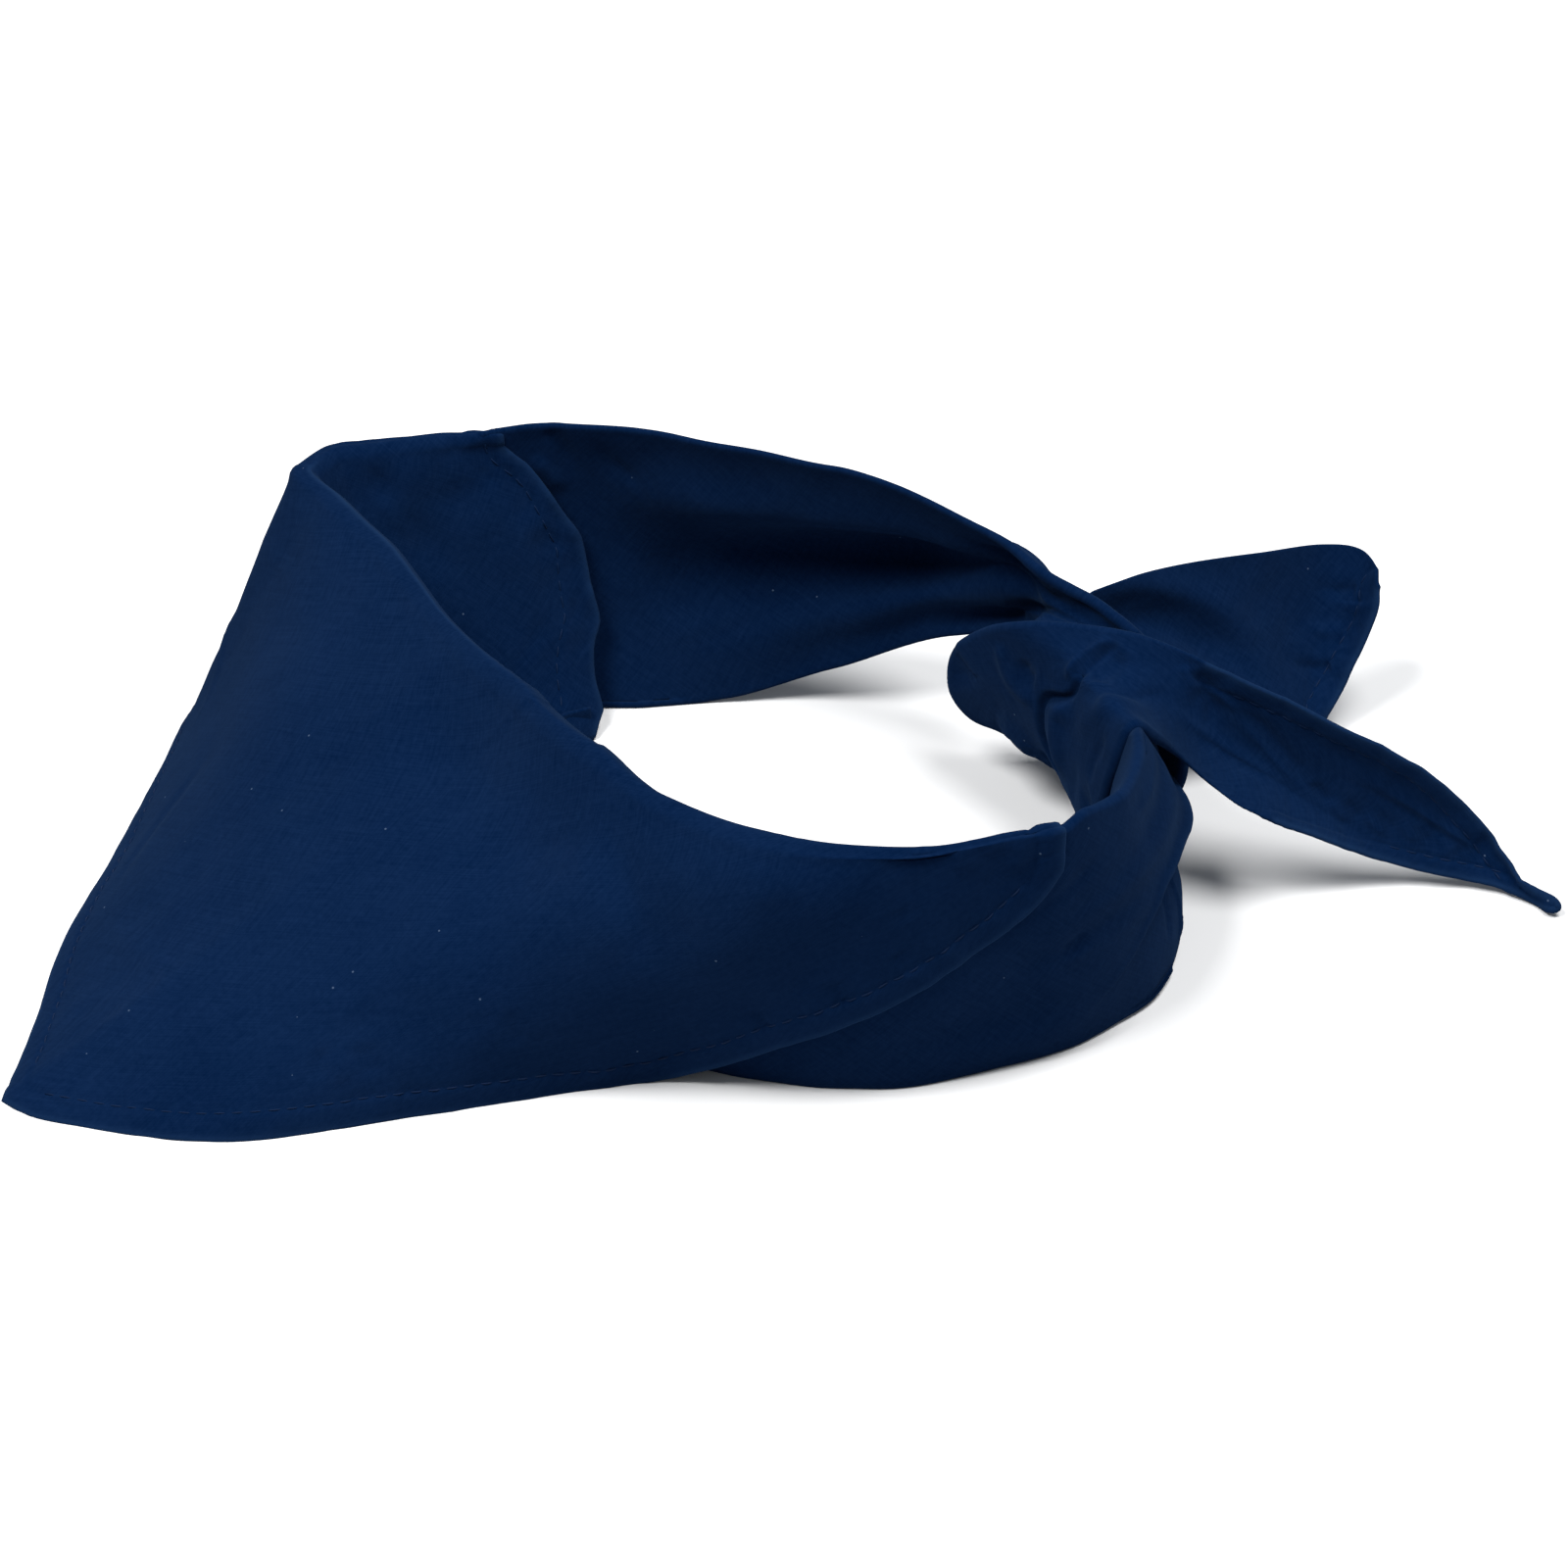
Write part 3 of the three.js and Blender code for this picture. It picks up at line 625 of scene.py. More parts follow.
def contour(face, out, field, lines, picks, on_rows=True, last=True):
    """The line on a face where a field crosses 0: one point for each of the grid's chosen lines
    that lead across it. They are columns if the points go from row to row, and rows if not."""
    if not on_rows:
        face, out, field = face.swapaxes(0, 1), out.swapaxes(0, 1), field.T
    points, normals = [], []
    for i in lines:
        values = field[i, picks]
        crossing = np.nonzero(np.diff(np.sign(values)) != 0)[0]
        if len(crossing) == 0:
            continue
        k = crossing[-1 if last else 0]
        j, after = picks[k], picks[k + 1]
        share = values[k] / (values[k] - values[k + 1])
        points.append(face[i, j] * (1 - share) + face[i, after] * share)
        normals.append(out[i, j])
    return np.array(points), np.array(normals)


def stitch_row(name, line, normals, pitch=STITCH_PITCH, length=STITCH_LENGTH, sides=6, steps=7):
    """A row of machine stitches: short threads that rise out of the cloth and dip back into it."""
    run = lengths(line)
    dice = random.Random(len(line))
    points, faces = [], []
    start = 0.4 * pitch
    while start + length < run[-1]:
        reach = length * dice.uniform(0.93, 1.05)
        places = start + reach * np.linspace(0, 1, steps)
        centre = np.stack([np.interp(places, run, line[:, k]) for k in range(3)], -1)
        out = unit(np.stack([np.interp(places, run, normals[:, k]) for k in range(3)], -1))
        arch = np.sin(np.pi * np.linspace(0, 1, steps)) ** 0.6
        centre = centre + out * ((arch * 0.62 - 0.42) * THREAD)[:, None]
        ahead = unit(np.gradient(centre, axis=0))
        beside = np.cross(ahead, out)
        first = len(points)
        for k in range(steps):
            radius = THREAD / 2 * (0.55 + 0.45 * arch[k])
            for s in range(sides):
                a = 2 * math.pi * s / sides
                points.append(centre[k] + radius * (math.cos(a) * beside[k] + math.sin(a) * out[k]))
        for k in range(steps - 1):
            for s in range(sides):
                a, b = first + k * sides + s, first + k * sides + (s + 1) % sides
                faces.append((a, b, b + sides, a + sides))
        last = first + (steps - 1) * sides
        faces.append(tuple(first + s for s in range(sides))[::-1])
        faces.append(tuple(last + s for s in range(sides)))
        start += pitch * dice.uniform(0.97, 1.03)
    return mesh_object(name, np.array(points), faces, THREAD_NAVY)


# The flap, with the cloth that goes on from its fold down the neck side

FAR_COLUMNS = 128
NEAR_COLUMNS = 146
BODY_ROWS = 80       # from the fold to the hem
HEM_ROWS = 12        # of them, in the hem's last millimetres
HEM_ZONE = 7.0
INNER_ROWS = 38
ROLL_ROWS = 12
FOOT_TURN = 0.95     # radius of the fold at the foot of the neck side
FOOT_BEHIND = 5.0    # how far that cloth goes back up behind
INNER_DEPTH = 3.6    # from the band's middle to the cloth on the neck side


def even_places(rows, count):
    """Places along a hem table, evenly spaced on the cloth between the fold and the hem."""
    last = len(rows["turn"]) - 1
    dense = np.linspace(0, last, 1500)
    row = on_curve(rows, dense)
    hem = np.stack([row["hemX"], row["hemY"], row["hemZ"]], -1)
    run = (lengths(hem) + lengths(band_point(row["turn"], 1.0))) / 2
    return np.interp(np.linspace(0, run[-1], count), run, dense)


def spaced_on(lines, places):
    """Points at given distances along each of several lines."""
    result = np.zeros((len(lines), places.shape[1], 3))
    for i, line in enumerate(lines):
        run = lengths(line)
        for k in range(3):
            result[i, :, k] = np.interp(places[i], run, line[:, k])
    return result


def flap_grid():
    """The flap's middle surface from the foot of the neck side, over the fold and down to the hem,
    with the turn of each column, and for each row -1 at the foot, 0 on the fold, 1 at the hem."""
    far = on_curve(FLAP_FAR, even_places(FLAP_FAR, FAR_COLUMNS))
    near = on_curve(FLAP_NEAR, even_places(FLAP_NEAR, NEAR_COLUMNS))
    row = {name: np.concatenate([far[name], near[name][1:]]) for name in far}
    turn = row["turn"]
    count = len(turn)
    top = read_at(NECK_BAND, turn)["topZ"]
    ridge = band_point(turn, 1.0)
    out = unit(band_point(turn, 1.0, 1.0) - ridge)
    centre = ridge.copy()
    centre[:, 2] = top - ROLL - FLAP_PLY / 2

    # The fold is creased sharply on the wearer's right and rolls more softly to the left.
    crisp = 0.5 - 0.4 * smooth_step((turn - 5) / 50)
    angles = np.radians(np.linspace(0, 130, ROLL_ROWS))
    sideways = -ROLL * np.cos(angles) * (1 - crisp[:, None] * np.sin(angles) ** 2)
    upwards = ROLL * np.sin(angles) * (1 + 0.12 * crisp[:, None])
    roll = centre[:, None] + out[:, None] * sideways[..., None] + UP * upwards[..., None]

    hem = np.stack([row["hemX"], row["hemY"], row["hemZ"]], -1)
    start = roll[:, -1]
    drop = hem - start
    length = np.linalg.norm(drop, axis=-1)
    leave = unit(out - UP * LEAVE_DROP)
    leaving = start + leave * (length * row["swell"])[:, None]
    arriving = hem - drop * ARRIVE_SHARE
    t = np.linspace(0, 1, 140)[None, :, None]
    curve = (1 - t) ** 3 * start[:, None] + 3 * t * (1 - t) ** 2 * leaving[:, None]
    curve = curve + 3 * t**2 * (1 - t) * arriving[:, None] + t**3 * hem[:, None]
    curve = lie_on(curve, ROLL)
    curve[:, 0] = start
    total = np.array([lengths(line)[-1] for line in curve])
    zone = np.minimum(HEM_ZONE, 0.35 * total)
    body = np.linspace(0, 1, BODY_ROWS - HEM_ROWS + 1)[1:]
    edge = np.linspace(0, 1, HEM_ROWS + 1)[1:]
    above, zone = (total - zone)[:, None], zone[:, None]
    places = np.concatenate([body * above, above + edge * zone], 1)
    fall = spaced_on(curve, places)

    far_edge = read_at(INNER_HEM_FAR, np.linspace(0, 1, INNER_ROWS))["turn"]
    near_edge = read_at(INNER_HEM_NEAR, np.linspace(0, 1, INNER_ROWS))["turn"]
    share = np.linspace(0, 1, count)[:, None]
    shift = (far_edge - far_edge[-1]) * (1 - smooth_step(share / 0.25))
    shift = shift + (near_edge - near_edge[-1]) * smooth_step((share - 0.8) / 0.2)
    inner_turn = turn[:, None] + shift
    height = np.linspace(0, 1, INNER_ROWS)[None]
    foot = PLY / 2 + 0.05 + FOOT_TURN
    z = foot + (centre[:, 2:] - foot) * height
    inner_top = read_at(NECK_BAND, inner_turn)["topZ"]
    depth = INNER_DEPTH + (ROLL - INNER_DEPTH) * smooth_step((height - 0.72) / 0.28)
    face = band_point(inner_turn, z / inner_top, -depth)
    slack = read_at(INNER_SLACK, inner_turn)["foot"] * (1 - height) ** SLACK_CURVE
    reach = np.hypot(face[..., 0], face[..., 1])
    face = face * np.stack([1 - slack / reach, 1 - slack / reach, np.ones_like(reach)], -1)
    face[..., 2] = z

    behind = unit(face[:, 0] * [1, 1, 0])[:, None]
    angles = np.radians(np.linspace(0, 150, 6))[None, :, None]
    under = face[:, :1] + behind * FOOT_TURN * (1 + np.cos(angles)) - UP * FOOT_TURN * np.sin(angles)
    rise = np.linspace(FOOT_BEHIND, 1.2, 4)[None, :, None]
    back = face[:, :1] + behind * 2 * FOOT_TURN + UP * rise

    grid = np.concatenate([back, under, face[:, :-1], roll, fall], 1)
    rows = np.concatenate([
        np.linspace(-1.2, -1.12, 4), np.linspace(-1.1, -1.01, 6), np.linspace(-1, -0.05, INNER_ROWS)[:-1],
        np.linspace(-0.05, 0.05, ROLL_ROWS), np.linspace(0.05, 1, BODY_ROWS + 1)[1:],
    ])

    # The fold lies closer round the band towards both of its ends.
    press = (smooth_step((turn - 82) / 20) + smooth_step((-72 - turn) / 12))[:, None]
    side = np.clip(rows / 0.06, -1, 1)[None]
    closer = press * (1.9 * np.maximum(-side, 0) - 1.25 * np.maximum(side, 0))
    grid += out[:, None] * closer[..., None]
    grid[..., 2] -= 0.4 * press * np.exp(-((rows / 0.1) ** 2))[None]
    return grid, turn, rows


def round_corner(grid, corner, inside, reach, depth):
    """Rounds off a corner of the grid: its points move towards a place inside the cloth."""
    away = np.linalg.norm(grid - grid[corner], axis=-1)
    towards = unit(grid[inside] - grid[corner])
    grid += towards * (depth * np.exp(-((away / reach) ** 2)))[..., None]
    return grid


def soften(grid, times):
    """Evens out the grid's points along its rows and columns, but not on its edges."""
    for _ in range(times):
        mean = (grid[:-2, 1:-1] + grid[2:, 1:-1] + grid[1:-1, :-2] + grid[1:-1, 2:]) / 4
        grid[1:-1, 1:-1] = (grid[1:-1, 1:-1] + mean) / 2
    return grid


# The band's two stretches and the pleat by the knot

RIGHT_BAND = table("turn foot top hollow ridge ridgeAt inward", [
    [-74, 0, 0.95, 0, 0, 0.1, 0],
    [-84.5, 0, 0.995, 0, 0, 0.1, 0],
    [-88, 0, 1.0, 0, 0, 0.1, 0],
    [-100, 0, 1.0, 1, -1, 0.1, 0],
    [-115, 0.01, 0.985, 2, -2, 0.12, 0],
    [-135, 0.035, 0.985, 3, -3, 0.22, 0],
    [-153, 0.05, 0.97, 3, -4, 0.3, 0],
    [-173, 0.05, 0.955, 2, -4, 0.4, 0],
])
LEFT_BAND = table("turn foot top hollow ridge ridgeAt inward", [
    [52, 0, 0.95, 0, 0, 0.1, 0],
    [80, 0, 0.95, 0, 0, 0.1, 0],
    [107.5, 0, 0.95, 0, 0, 0.1, 0],
    [112, 0, 0.985, 0, 0, 0.1, 0],
    [124, 0, 0.985, 0, 0, 0.2, 0],
    [139, 0.02, 0.985, 1, 0, 0.2, 0],
    [144, 0.04, 0.955, 1.5, 0, 0.2, 0],
    [153, 0.12, 0.9, 1.5, 0, 0.2, 0],
    [162, 0.3, 0.8, 1, 0, 0.2, 0],
])
# The left stretch's lower part tucks under its upper one by the knot: where the fold between them
# is, and how far in the lower part lies.
LEFT_TUCK = table("turn height depth", [
    [112, 0.16, 0], [118, 0.27, 0.8], [124, 0.44, 2.4], [128, 0.53, 3.9], [134, 0.56, 5.4], [140, 0.54, 6.2],
    [162, 0.5, 6.2],
])
# Past its top edge the left stretch turns over on the neck side, and its inner face runs in under
# the roll round the knot. These are the places where it ends there.
LEFT_INNER = table("turn x y z", [
    [108, 35, 62.5, 14], [116, 35, 62.5, 15], [122, 36, 61.5, 22], [132, 38, 62, 32], [142, 38, 64, 36],
    [153, 30, 66, 33], [162, 22, 67, 30],
])
INNER_ACROSS = 34
INNER_STARTS = 106   # the turn where that face starts to reach out from a short turned edge
INNER_SPREAD = 10
TURNED_EDGE = 3.5    # how far down that edge goes
TURNED_APART = 1.9   # and how far in from the outer face it is
BAND_ACROSS = 110
FOOT_CLEAR = 0.75    # the band's middle starts this far up, so that its rounded foot is on the surface


def band_grid(rows, columns, up):
    """A stretch of the band: its points, and its turns and shares of the height as labels."""
    if rows["turn"][0] > rows["turn"][-1]:
        rows = {name: values[::-1] for name, values in rows.items()}
    turns = np.linspace(rows["turn"][0], rows["turn"][-1], columns)
    row = read_at(rows, turns[:, None])
    share = np.linspace(0, 1, up)[None]
    height = row["foot"] + (row["top"] - row["foot"]) * share
    ridge = row["ridge"] * np.exp(-(((share - row["ridgeAt"]) / RIDGE_WIDTH) ** 2))
    relief = row["hollow"] * np.sin(np.pi * share) + ridge
    middle = band_point(np.broadcast_to(turns[:, None], height.shape), height, relief - row["inward"])
    middle[..., 2] = np.maximum(middle[..., 2], FOOT_CLEAR)
    return middle, turns, share[0]


# The knot and the two free ends, each a strand of cloth between two edges

EDGES = "ax ay az bx by bz crown"
KNOT_CROSS = table(EDGES, [
    [-6.1, 66.2, 48, -6.5, 72.3, 30, 1],
    [4, 73, 44.5, -1, 66, 38, 1.5],
    [14, 79.5, 39, 9, 70, 39, 2],
    [22, 84, 29, 16, 76, 34, 2],
    [25, 83.5, 18, 15, 80.5, 24, 2],
    [25, 81.5, 10, 7, 81.5, 12, 2],
    [24, 74.9, 5.5, 0, 75.8, 7.5, 1.5],
])
KNOT_WRAP = table(EDGES, [
    [-7, 72.8, 6.5, 24, 71.8, 4.5, 1],
    [-13.5, 58.5, 12, 31, 60, 12.5, 4],
    [-14.2, 54, 25, 40, 57, 23, 4.4],
    [-6, 57.5, 35.5, 43, 58, 33, 4],
    [5, 62, 42, 43, 61.5, 42, 3],
    [18, 72, 45, 42.5, 66.5, 38.5, 3],
    [25, 81, 43, 40, 73.5, 31, 2],
])
RIGHT_TAIL = table(EDGES, [
    [26.2, 82.6, 42.6, 41.2, 74.8, 30.2, 2],
    [33, 88, 40.5, 43, 83, 19, 3],
    [46, 101, 34, 52, 98, 11, 3],
    [58, 116, 24.9, 61, 115, 4, 2.5],
    [63, 127, 13, 68, 125, 2, 1.5],
    [68, 130, 7, 72, 129, 1.2, 1],
    [75, 131.5, 3.6, 77, 132, 0.8, 0.3],
    [81.5, 135, 2.6, 82.5, 133, 0.8, 0.2],
])
LEFT_TAIL = table(EDGES, [
    [-4, 77, 39, 7, 79, 24, 1],
    [-7, 90, 38.4, 11, 92, 18, 2],
    [-8, 104, 36.6, 14, 104, 13, 3],
    [-9, 120, 33.5, 14, 114, 8, 3],
    [-10, 134.5, 30.5, 12, 120, 4.5, 2],
    [-5, 141, 30, 11.5, 122, 4, 1.5],
    [4, 141, 27.5, 10.8, 124, 4, 1],
])
KNOT_CORE = table("x y z high deep", [
    [47, 62, 27, 17, 4],
    [43, 64.5, 27, 19, 7],
    [34, 67.5, 26, 20, 10],
    [20, 68.5, 25, 18, 11.5],
    [8, 71, 27, 15, 9],
    [0, 74.5, 29.5, 4, 2.5],
])
KNOT_HEART = np.array([18.0, 68.0, 26.0])
# Where across the leaf its lower side starts to turn under.
LEAF_TURN = table("place row", [
    [4, 0.95], [5.2, 0.8], [6, 0.66], [6.8, 0.62], [7.5, 0.68], [8, 0.78], [8.7, 0.9], [13, 0.9],
])


def strand_grid(rows, columns, across):
    """A strand's points, from edge a to edge b, and the places of its columns in the table."""
    places = np.linspace(0, len(rows["ax"]) - 1, columns)
    row = on_curve(rows, places)
    a = np.stack([row["ax"], row["ay"], row["az"]], -1)[:, None]
    b = np.stack([row["bx"], row["by"], row["bz"]], -1)[:, None]
    ahead = np.gradient((a + b)[:, 0], axis=0)[:, None]
    proud = unit(np.cross(ahead, b - a))
    share = np.linspace(0, 1, across)[None, :, None]
    middle = a + (b - a) * share + proud * row["crown"][:, None, None] * 4 * share * (1 - share)
    return middle, places, share[0, :, 0]


def bundle_cloth(name, rows, columns, around_it, wall, pleats):
    """Cloth gathered round a curved path into a bundle that stays open along its hidden side, with
    pleats along it. Its labels are the table's rows, and turns round the bundle in degrees."""
    row = on_curve(rows, np.linspace(0, len(rows["x"]) - 1, columns))
    path = np.stack([row["x"], row["y"], row["z"]], -1)
    ahead = unit(np.gradient(path, axis=0))
    aside = unit(np.cross(ahead, UP))[:, None]
    turns = np.linspace(-168, 168, around_it)
    angle = np.radians(turns)[None, :, None]
    place = np.linspace(0, 1, columns)[:, None, None]
    folds = sum(deep * np.cos(count * angle + phase + lean * place) for count, deep, phase, lean in pleats)
    size = 1 - wall / 10 + folds
    offset = aside * row["deep"][:, None, None] / 2 * np.cos(angle) * size
    offset = offset + UP * row["high"][:, None, None] / 2 * np.sin(angle) * size
    labels = np.arange(columns) * (len(rows["x"]) - 1) / (columns - 1)
    return Cloth(name, path[:, None] + offset, labels, turns, wall, offset)


# Making the pieces. Each crease is placed by its labels on the cloth: a column's label and a row's.

def show(cloth, replaces):
    """The cloth's mesh, with its threads laid out at the size of its cut, attached to the root in place of
    the solids that it stands for, which are hidden.
    """
    piece = cloth.build(NAVY)
    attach(piece, "root")
    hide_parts(*replaces)


def sew(name, cloth, hem, lines, picks, skip=(0, 0), on_rows=True, last=True):
    """The stitches of a hem on both faces of the cloth. The lines of the grid lead across it."""
    away, wide = hem
    outer, inner = cloth.faces_points()
    for side in (1, -1):
        face = outer if side > 0 else inner
        line, out = contour(face, cloth.out * side, away - wide, lines, picks, on_rows, last)
        line, out = line[skip[0]:len(line) - skip[1]], out[skip[0]:len(out) - skip[1]]
        piece = stitch_row(name if side > 0 else name + "_back", line, out)
        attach(piece, "root")


def make_flap():
    grid, turns, rows = flap_grid()
    grid = soften(grid, 2)
    outside = np.zeros_like(grid)
    outside[:, -BODY_ROWS:] = grid[:, -BODY_ROWS:] * [1, 1, 0]
    cloth = Cloth("flap_cloth", grid, turns, rows, PLY, outside)
    foot = 10                                   # the first row of the neck side
    fold = len(rows) - BODY_ROWS - ROLL_ROWS // 2
    tip = FAR_COLUMNS - 1
    far = cloth.hem(np.concatenate([grid[0, fold:], grid[1:tip + 1, -1]]), 11, puckers=0.55)
    near = cloth.hem(np.concatenate([grid[tip:, -1], grid[-1, fold:-1][::-1]]), 12, puckers=1.1)

    def inner_width(along):
        return np.interp(along, [0, 15, 35, 55], [8.5, 8.2, 6.0, 3.2])

    inner_far = cloth.hem(grid[0, foot:fold], 13, inner_width, puckers=1.5)
    inner_near = cloth.hem(grid[-1, foot:fold], 14)

    # The panel: two soft hollows that run down and forward from the fold, with swells between.
    cloth.crease(13, -4.4, (-24, 0.06), (-8, 0.16), (6, 0.18), (27, 0.25), (46, 0.42), lean=1.3)
    cloth.crease(9, -1.6, (36, 0.12), (49, 0.22), (62, 0.38), (69, 0.55))
    cloth.crease(8, -1.3, (66, 0.06), (76, 0.1), (92, 0.16), (101, 0.3), lean=0.7)
    cloth.crease(13, 0.9, (-42, 0.56), (-17, 0.43), (7, 0.45), (18, 0.57))
    cloth.crease(7, 0.8, (-27, 0.03), (0, 0.05), (27, 0.06), (50, 0.09), lean=1.6)
    cloth.crease(5, 0.55, (40, 0.18), (52, 0.32), (59, 0.5))
    cloth.crease(3.5, -0.4, (46, 0.14), (57, 0.34), (62, 0.52), lean=0.6)
    cloth.crease(4, 0.35, (20, 0.3), (30, 0.42), (34, 0.58))
    cloth.crease(18, 0.6, (-58, 0.3), (-40, 0.3), (-20, 0.22))
    cloth.crease(10, -0.8, (-60, 0.62), (-45, 0.66), (-28, 0.64))
    cloth.crease(6, -0.5, (10, 0.68), (26, 0.66), (42, 0.66), (55, 0.6))

    swell = 1.1 * np.exp(-(((turns + 56) / 15) ** 2))[:, None] * smooth_step(rows / 0.15)[None]
    cloth.relief += swell

    # Small creases at the tip and above the hems, where the cloth was handled.
    cloth.crease(1.5, -0.55, (0.4, 0.87), (-2, 0.82), (-1, 0.77), lean=1.4)
    cloth.crease(1.4, -0.5, (-13, 0.68), (-6, 0.67), (-3.8, 0.71))
    cloth.crease(1.7, -0.45, (-19, 0.83), (-9.5, 0.75), (-7, 0.7))
    cloth.crease(2.6, 0.45, (-33, 0.8), (-13, 0.67), (-4.6, 0.68), (-11.7, 0.78))
    cloth.crease(0.9, -0.5, (-7.2, 0.965), (-4.6, 0.905), (-0.9, 0.915), (3, 0.93), fade=(0.1, 0.3))
    cloth.crease(1.9, -0.7, (27.5, 0.7), (32.6, 0.8), lean=0.7)
    cloth.crease(2.2, -0.6, (33, 0.7), (40, 0.81), lean=1.4)
    cloth.crease(1.7, 0.5, (30, 0.72), (36.5, 0.81))
    cloth.crease(1.5, -0.45, (50, 0.62), (55, 0.76))
    cloth.crease(1.8, -0.55, (97.7, 0.1), (99.6, 0.42), (98.6, 0.62), lean=1.5)
    cloth.crease(1.5, 0.4, (100.6, 0.1), (102, 0.35), (100.4, 0.55))
    cloth.crease(2.2, 0.45, (93.6, 0.03), (95, 0.2), (94, 0.3))
    cloth.crease(1.3, -0.5, (74.6, 0.72), (77.7, 0.88), fade=(0.2, 0.2))
    cloth.crease(1.5, -0.6, (82, 0.7), (84.4, 0.9), fade=(0.2, 0.2), lean=0.6)
    cloth.crease(1.2, -0.45, (88, 0.68), (90.2, 0.88), fade=(0.2, 0.2))
    cloth.crease(1.5, 0.4, (79.5, 0.7), (81.5, 0.88), fade=(0.2, 0.2))
    cloth.crease(1.6, -0.5, (-50, 0.6), (-46, 0.76), (-38, 0.82))
    cloth.crease(1.4, 0.4, (-66, 0.5), (-60, 0.62), (-56, 0.8))

    # The neck side, which faces in: folds from the wearer's right corner, and slack below.
    cloth.crease(4.2, -0.9, (-81, -0.07), (-72, -0.23), (-68, -0.36), (-67, -0.5), lean=1.4)
    cloth.crease(2.6, -0.7, (-70, -0.05), (-69, -0.1), (-67.5, -0.2))
    cloth.crease(3.0, 0.6, (-75, -0.05), (-70, -0.15), (-66, -0.3))
    cloth.crease(3.4, 0.5, (-78, -0.2), (-76, -0.45), (-75, -0.7), lean=0.6)
    cloth.crease(5, -0.8, (-62, -0.1), (-58, -0.4), (-60, -0.8))
    cloth.crease(6, 0.7, (-44, -0.15), (-30, -0.3), (-8, -0.6))
    cloth.crease(5, -0.7, (-20, -0.1), (6, -0.35), (22, -0.7), lean=1.5)
    cloth.crease(4, 0.5, (36, -0.2), (52, -0.5), (58, -0.8))
    cloth.crease(4.5, -0.6, (66, -0.1), (78, -0.45), (84, -0.8))
    for height, length, depth in (
            (-0.3, 5, -0.45), (-0.4, 3.6, 0.4), (-0.5, 5.5, -0.5),
            (-0.6, 3, 0.35), (-0.68, 4.5, -0.4), (-0.8, 4, 0.4)):
        cloth.crease(1.3, depth, (-84, height), (-84 + length, height + 0.02), fade=(0.05, 0.6), lean=1.3)

    # The fold itself: a sharp line on the wearer's right, paler from wear and from a painted highlight along
    # it, and a soft roll further on.
    line = np.exp(-(((cloth.rows - 0.006) / 0.012) ** 2))[None]
    sharp = smooth_step((8 - turns) / 60)[:, None] * smooth_step((turns + 66) / 6)[:, None]
    # Painted highlight, with a little wear, along the sharp part of the fold.
    cloth.pale = np.maximum(cloth.pale, 0.75 * line * sharp)
    cloth.relief += 0.18 * line * sharp

    cloth.rumple(1, 0.9, 40)
    cloth.rumple(2, 0.28, 13)
    cloth.scatter(5, 70, (7, 30), (0.05, 0.24), rows=(0.06, 0.85))
    cloth.scatter(6, 40, (6, 22), (0.06, 0.3), rows=(-0.95, -0.1))
    show(cloth, ["front_flap", "inner_fold"])
    body = np.arange(fold, len(rows))
    sew("far_hem_stitches", cloth, far, np.arange(4, tip), body, skip=(0, 2))
    sew("near_hem_stitches", cloth, near, np.arange(tip + 2, len(turns) - 8), body)
    first, end = np.arange(60), np.arange(200, len(turns))
    sew("inner_hem_stitches", cloth, inner_far, np.arange(foot, fold + 3), first, on_rows=False, last=False)
    sew("inner_hem_near_stitches", cloth, inner_near, np.arange(foot, fold), end, on_rows=False)


NEAR_SIDE = np.array([0.7, -0.4, 0.6])   # out of the tails, on the side that shows
CROSS_START = 176                        # the label where the band goes over into the knot
CROSS_STEP = 10


def join(first, second, reach, times):
    """Two grids as one, evened out along its columns over the joint."""
    grid = np.concatenate([first, second])
    joint = len(first)
    part = slice(joint - reach, joint + reach)
    for _ in range(times):
        around_it = grid[joint - reach - 1:joint + reach + 1]
        grid[part] = (around_it[:-2] + 2 * grid[part] + around_it[2:]) / 4
    return grid


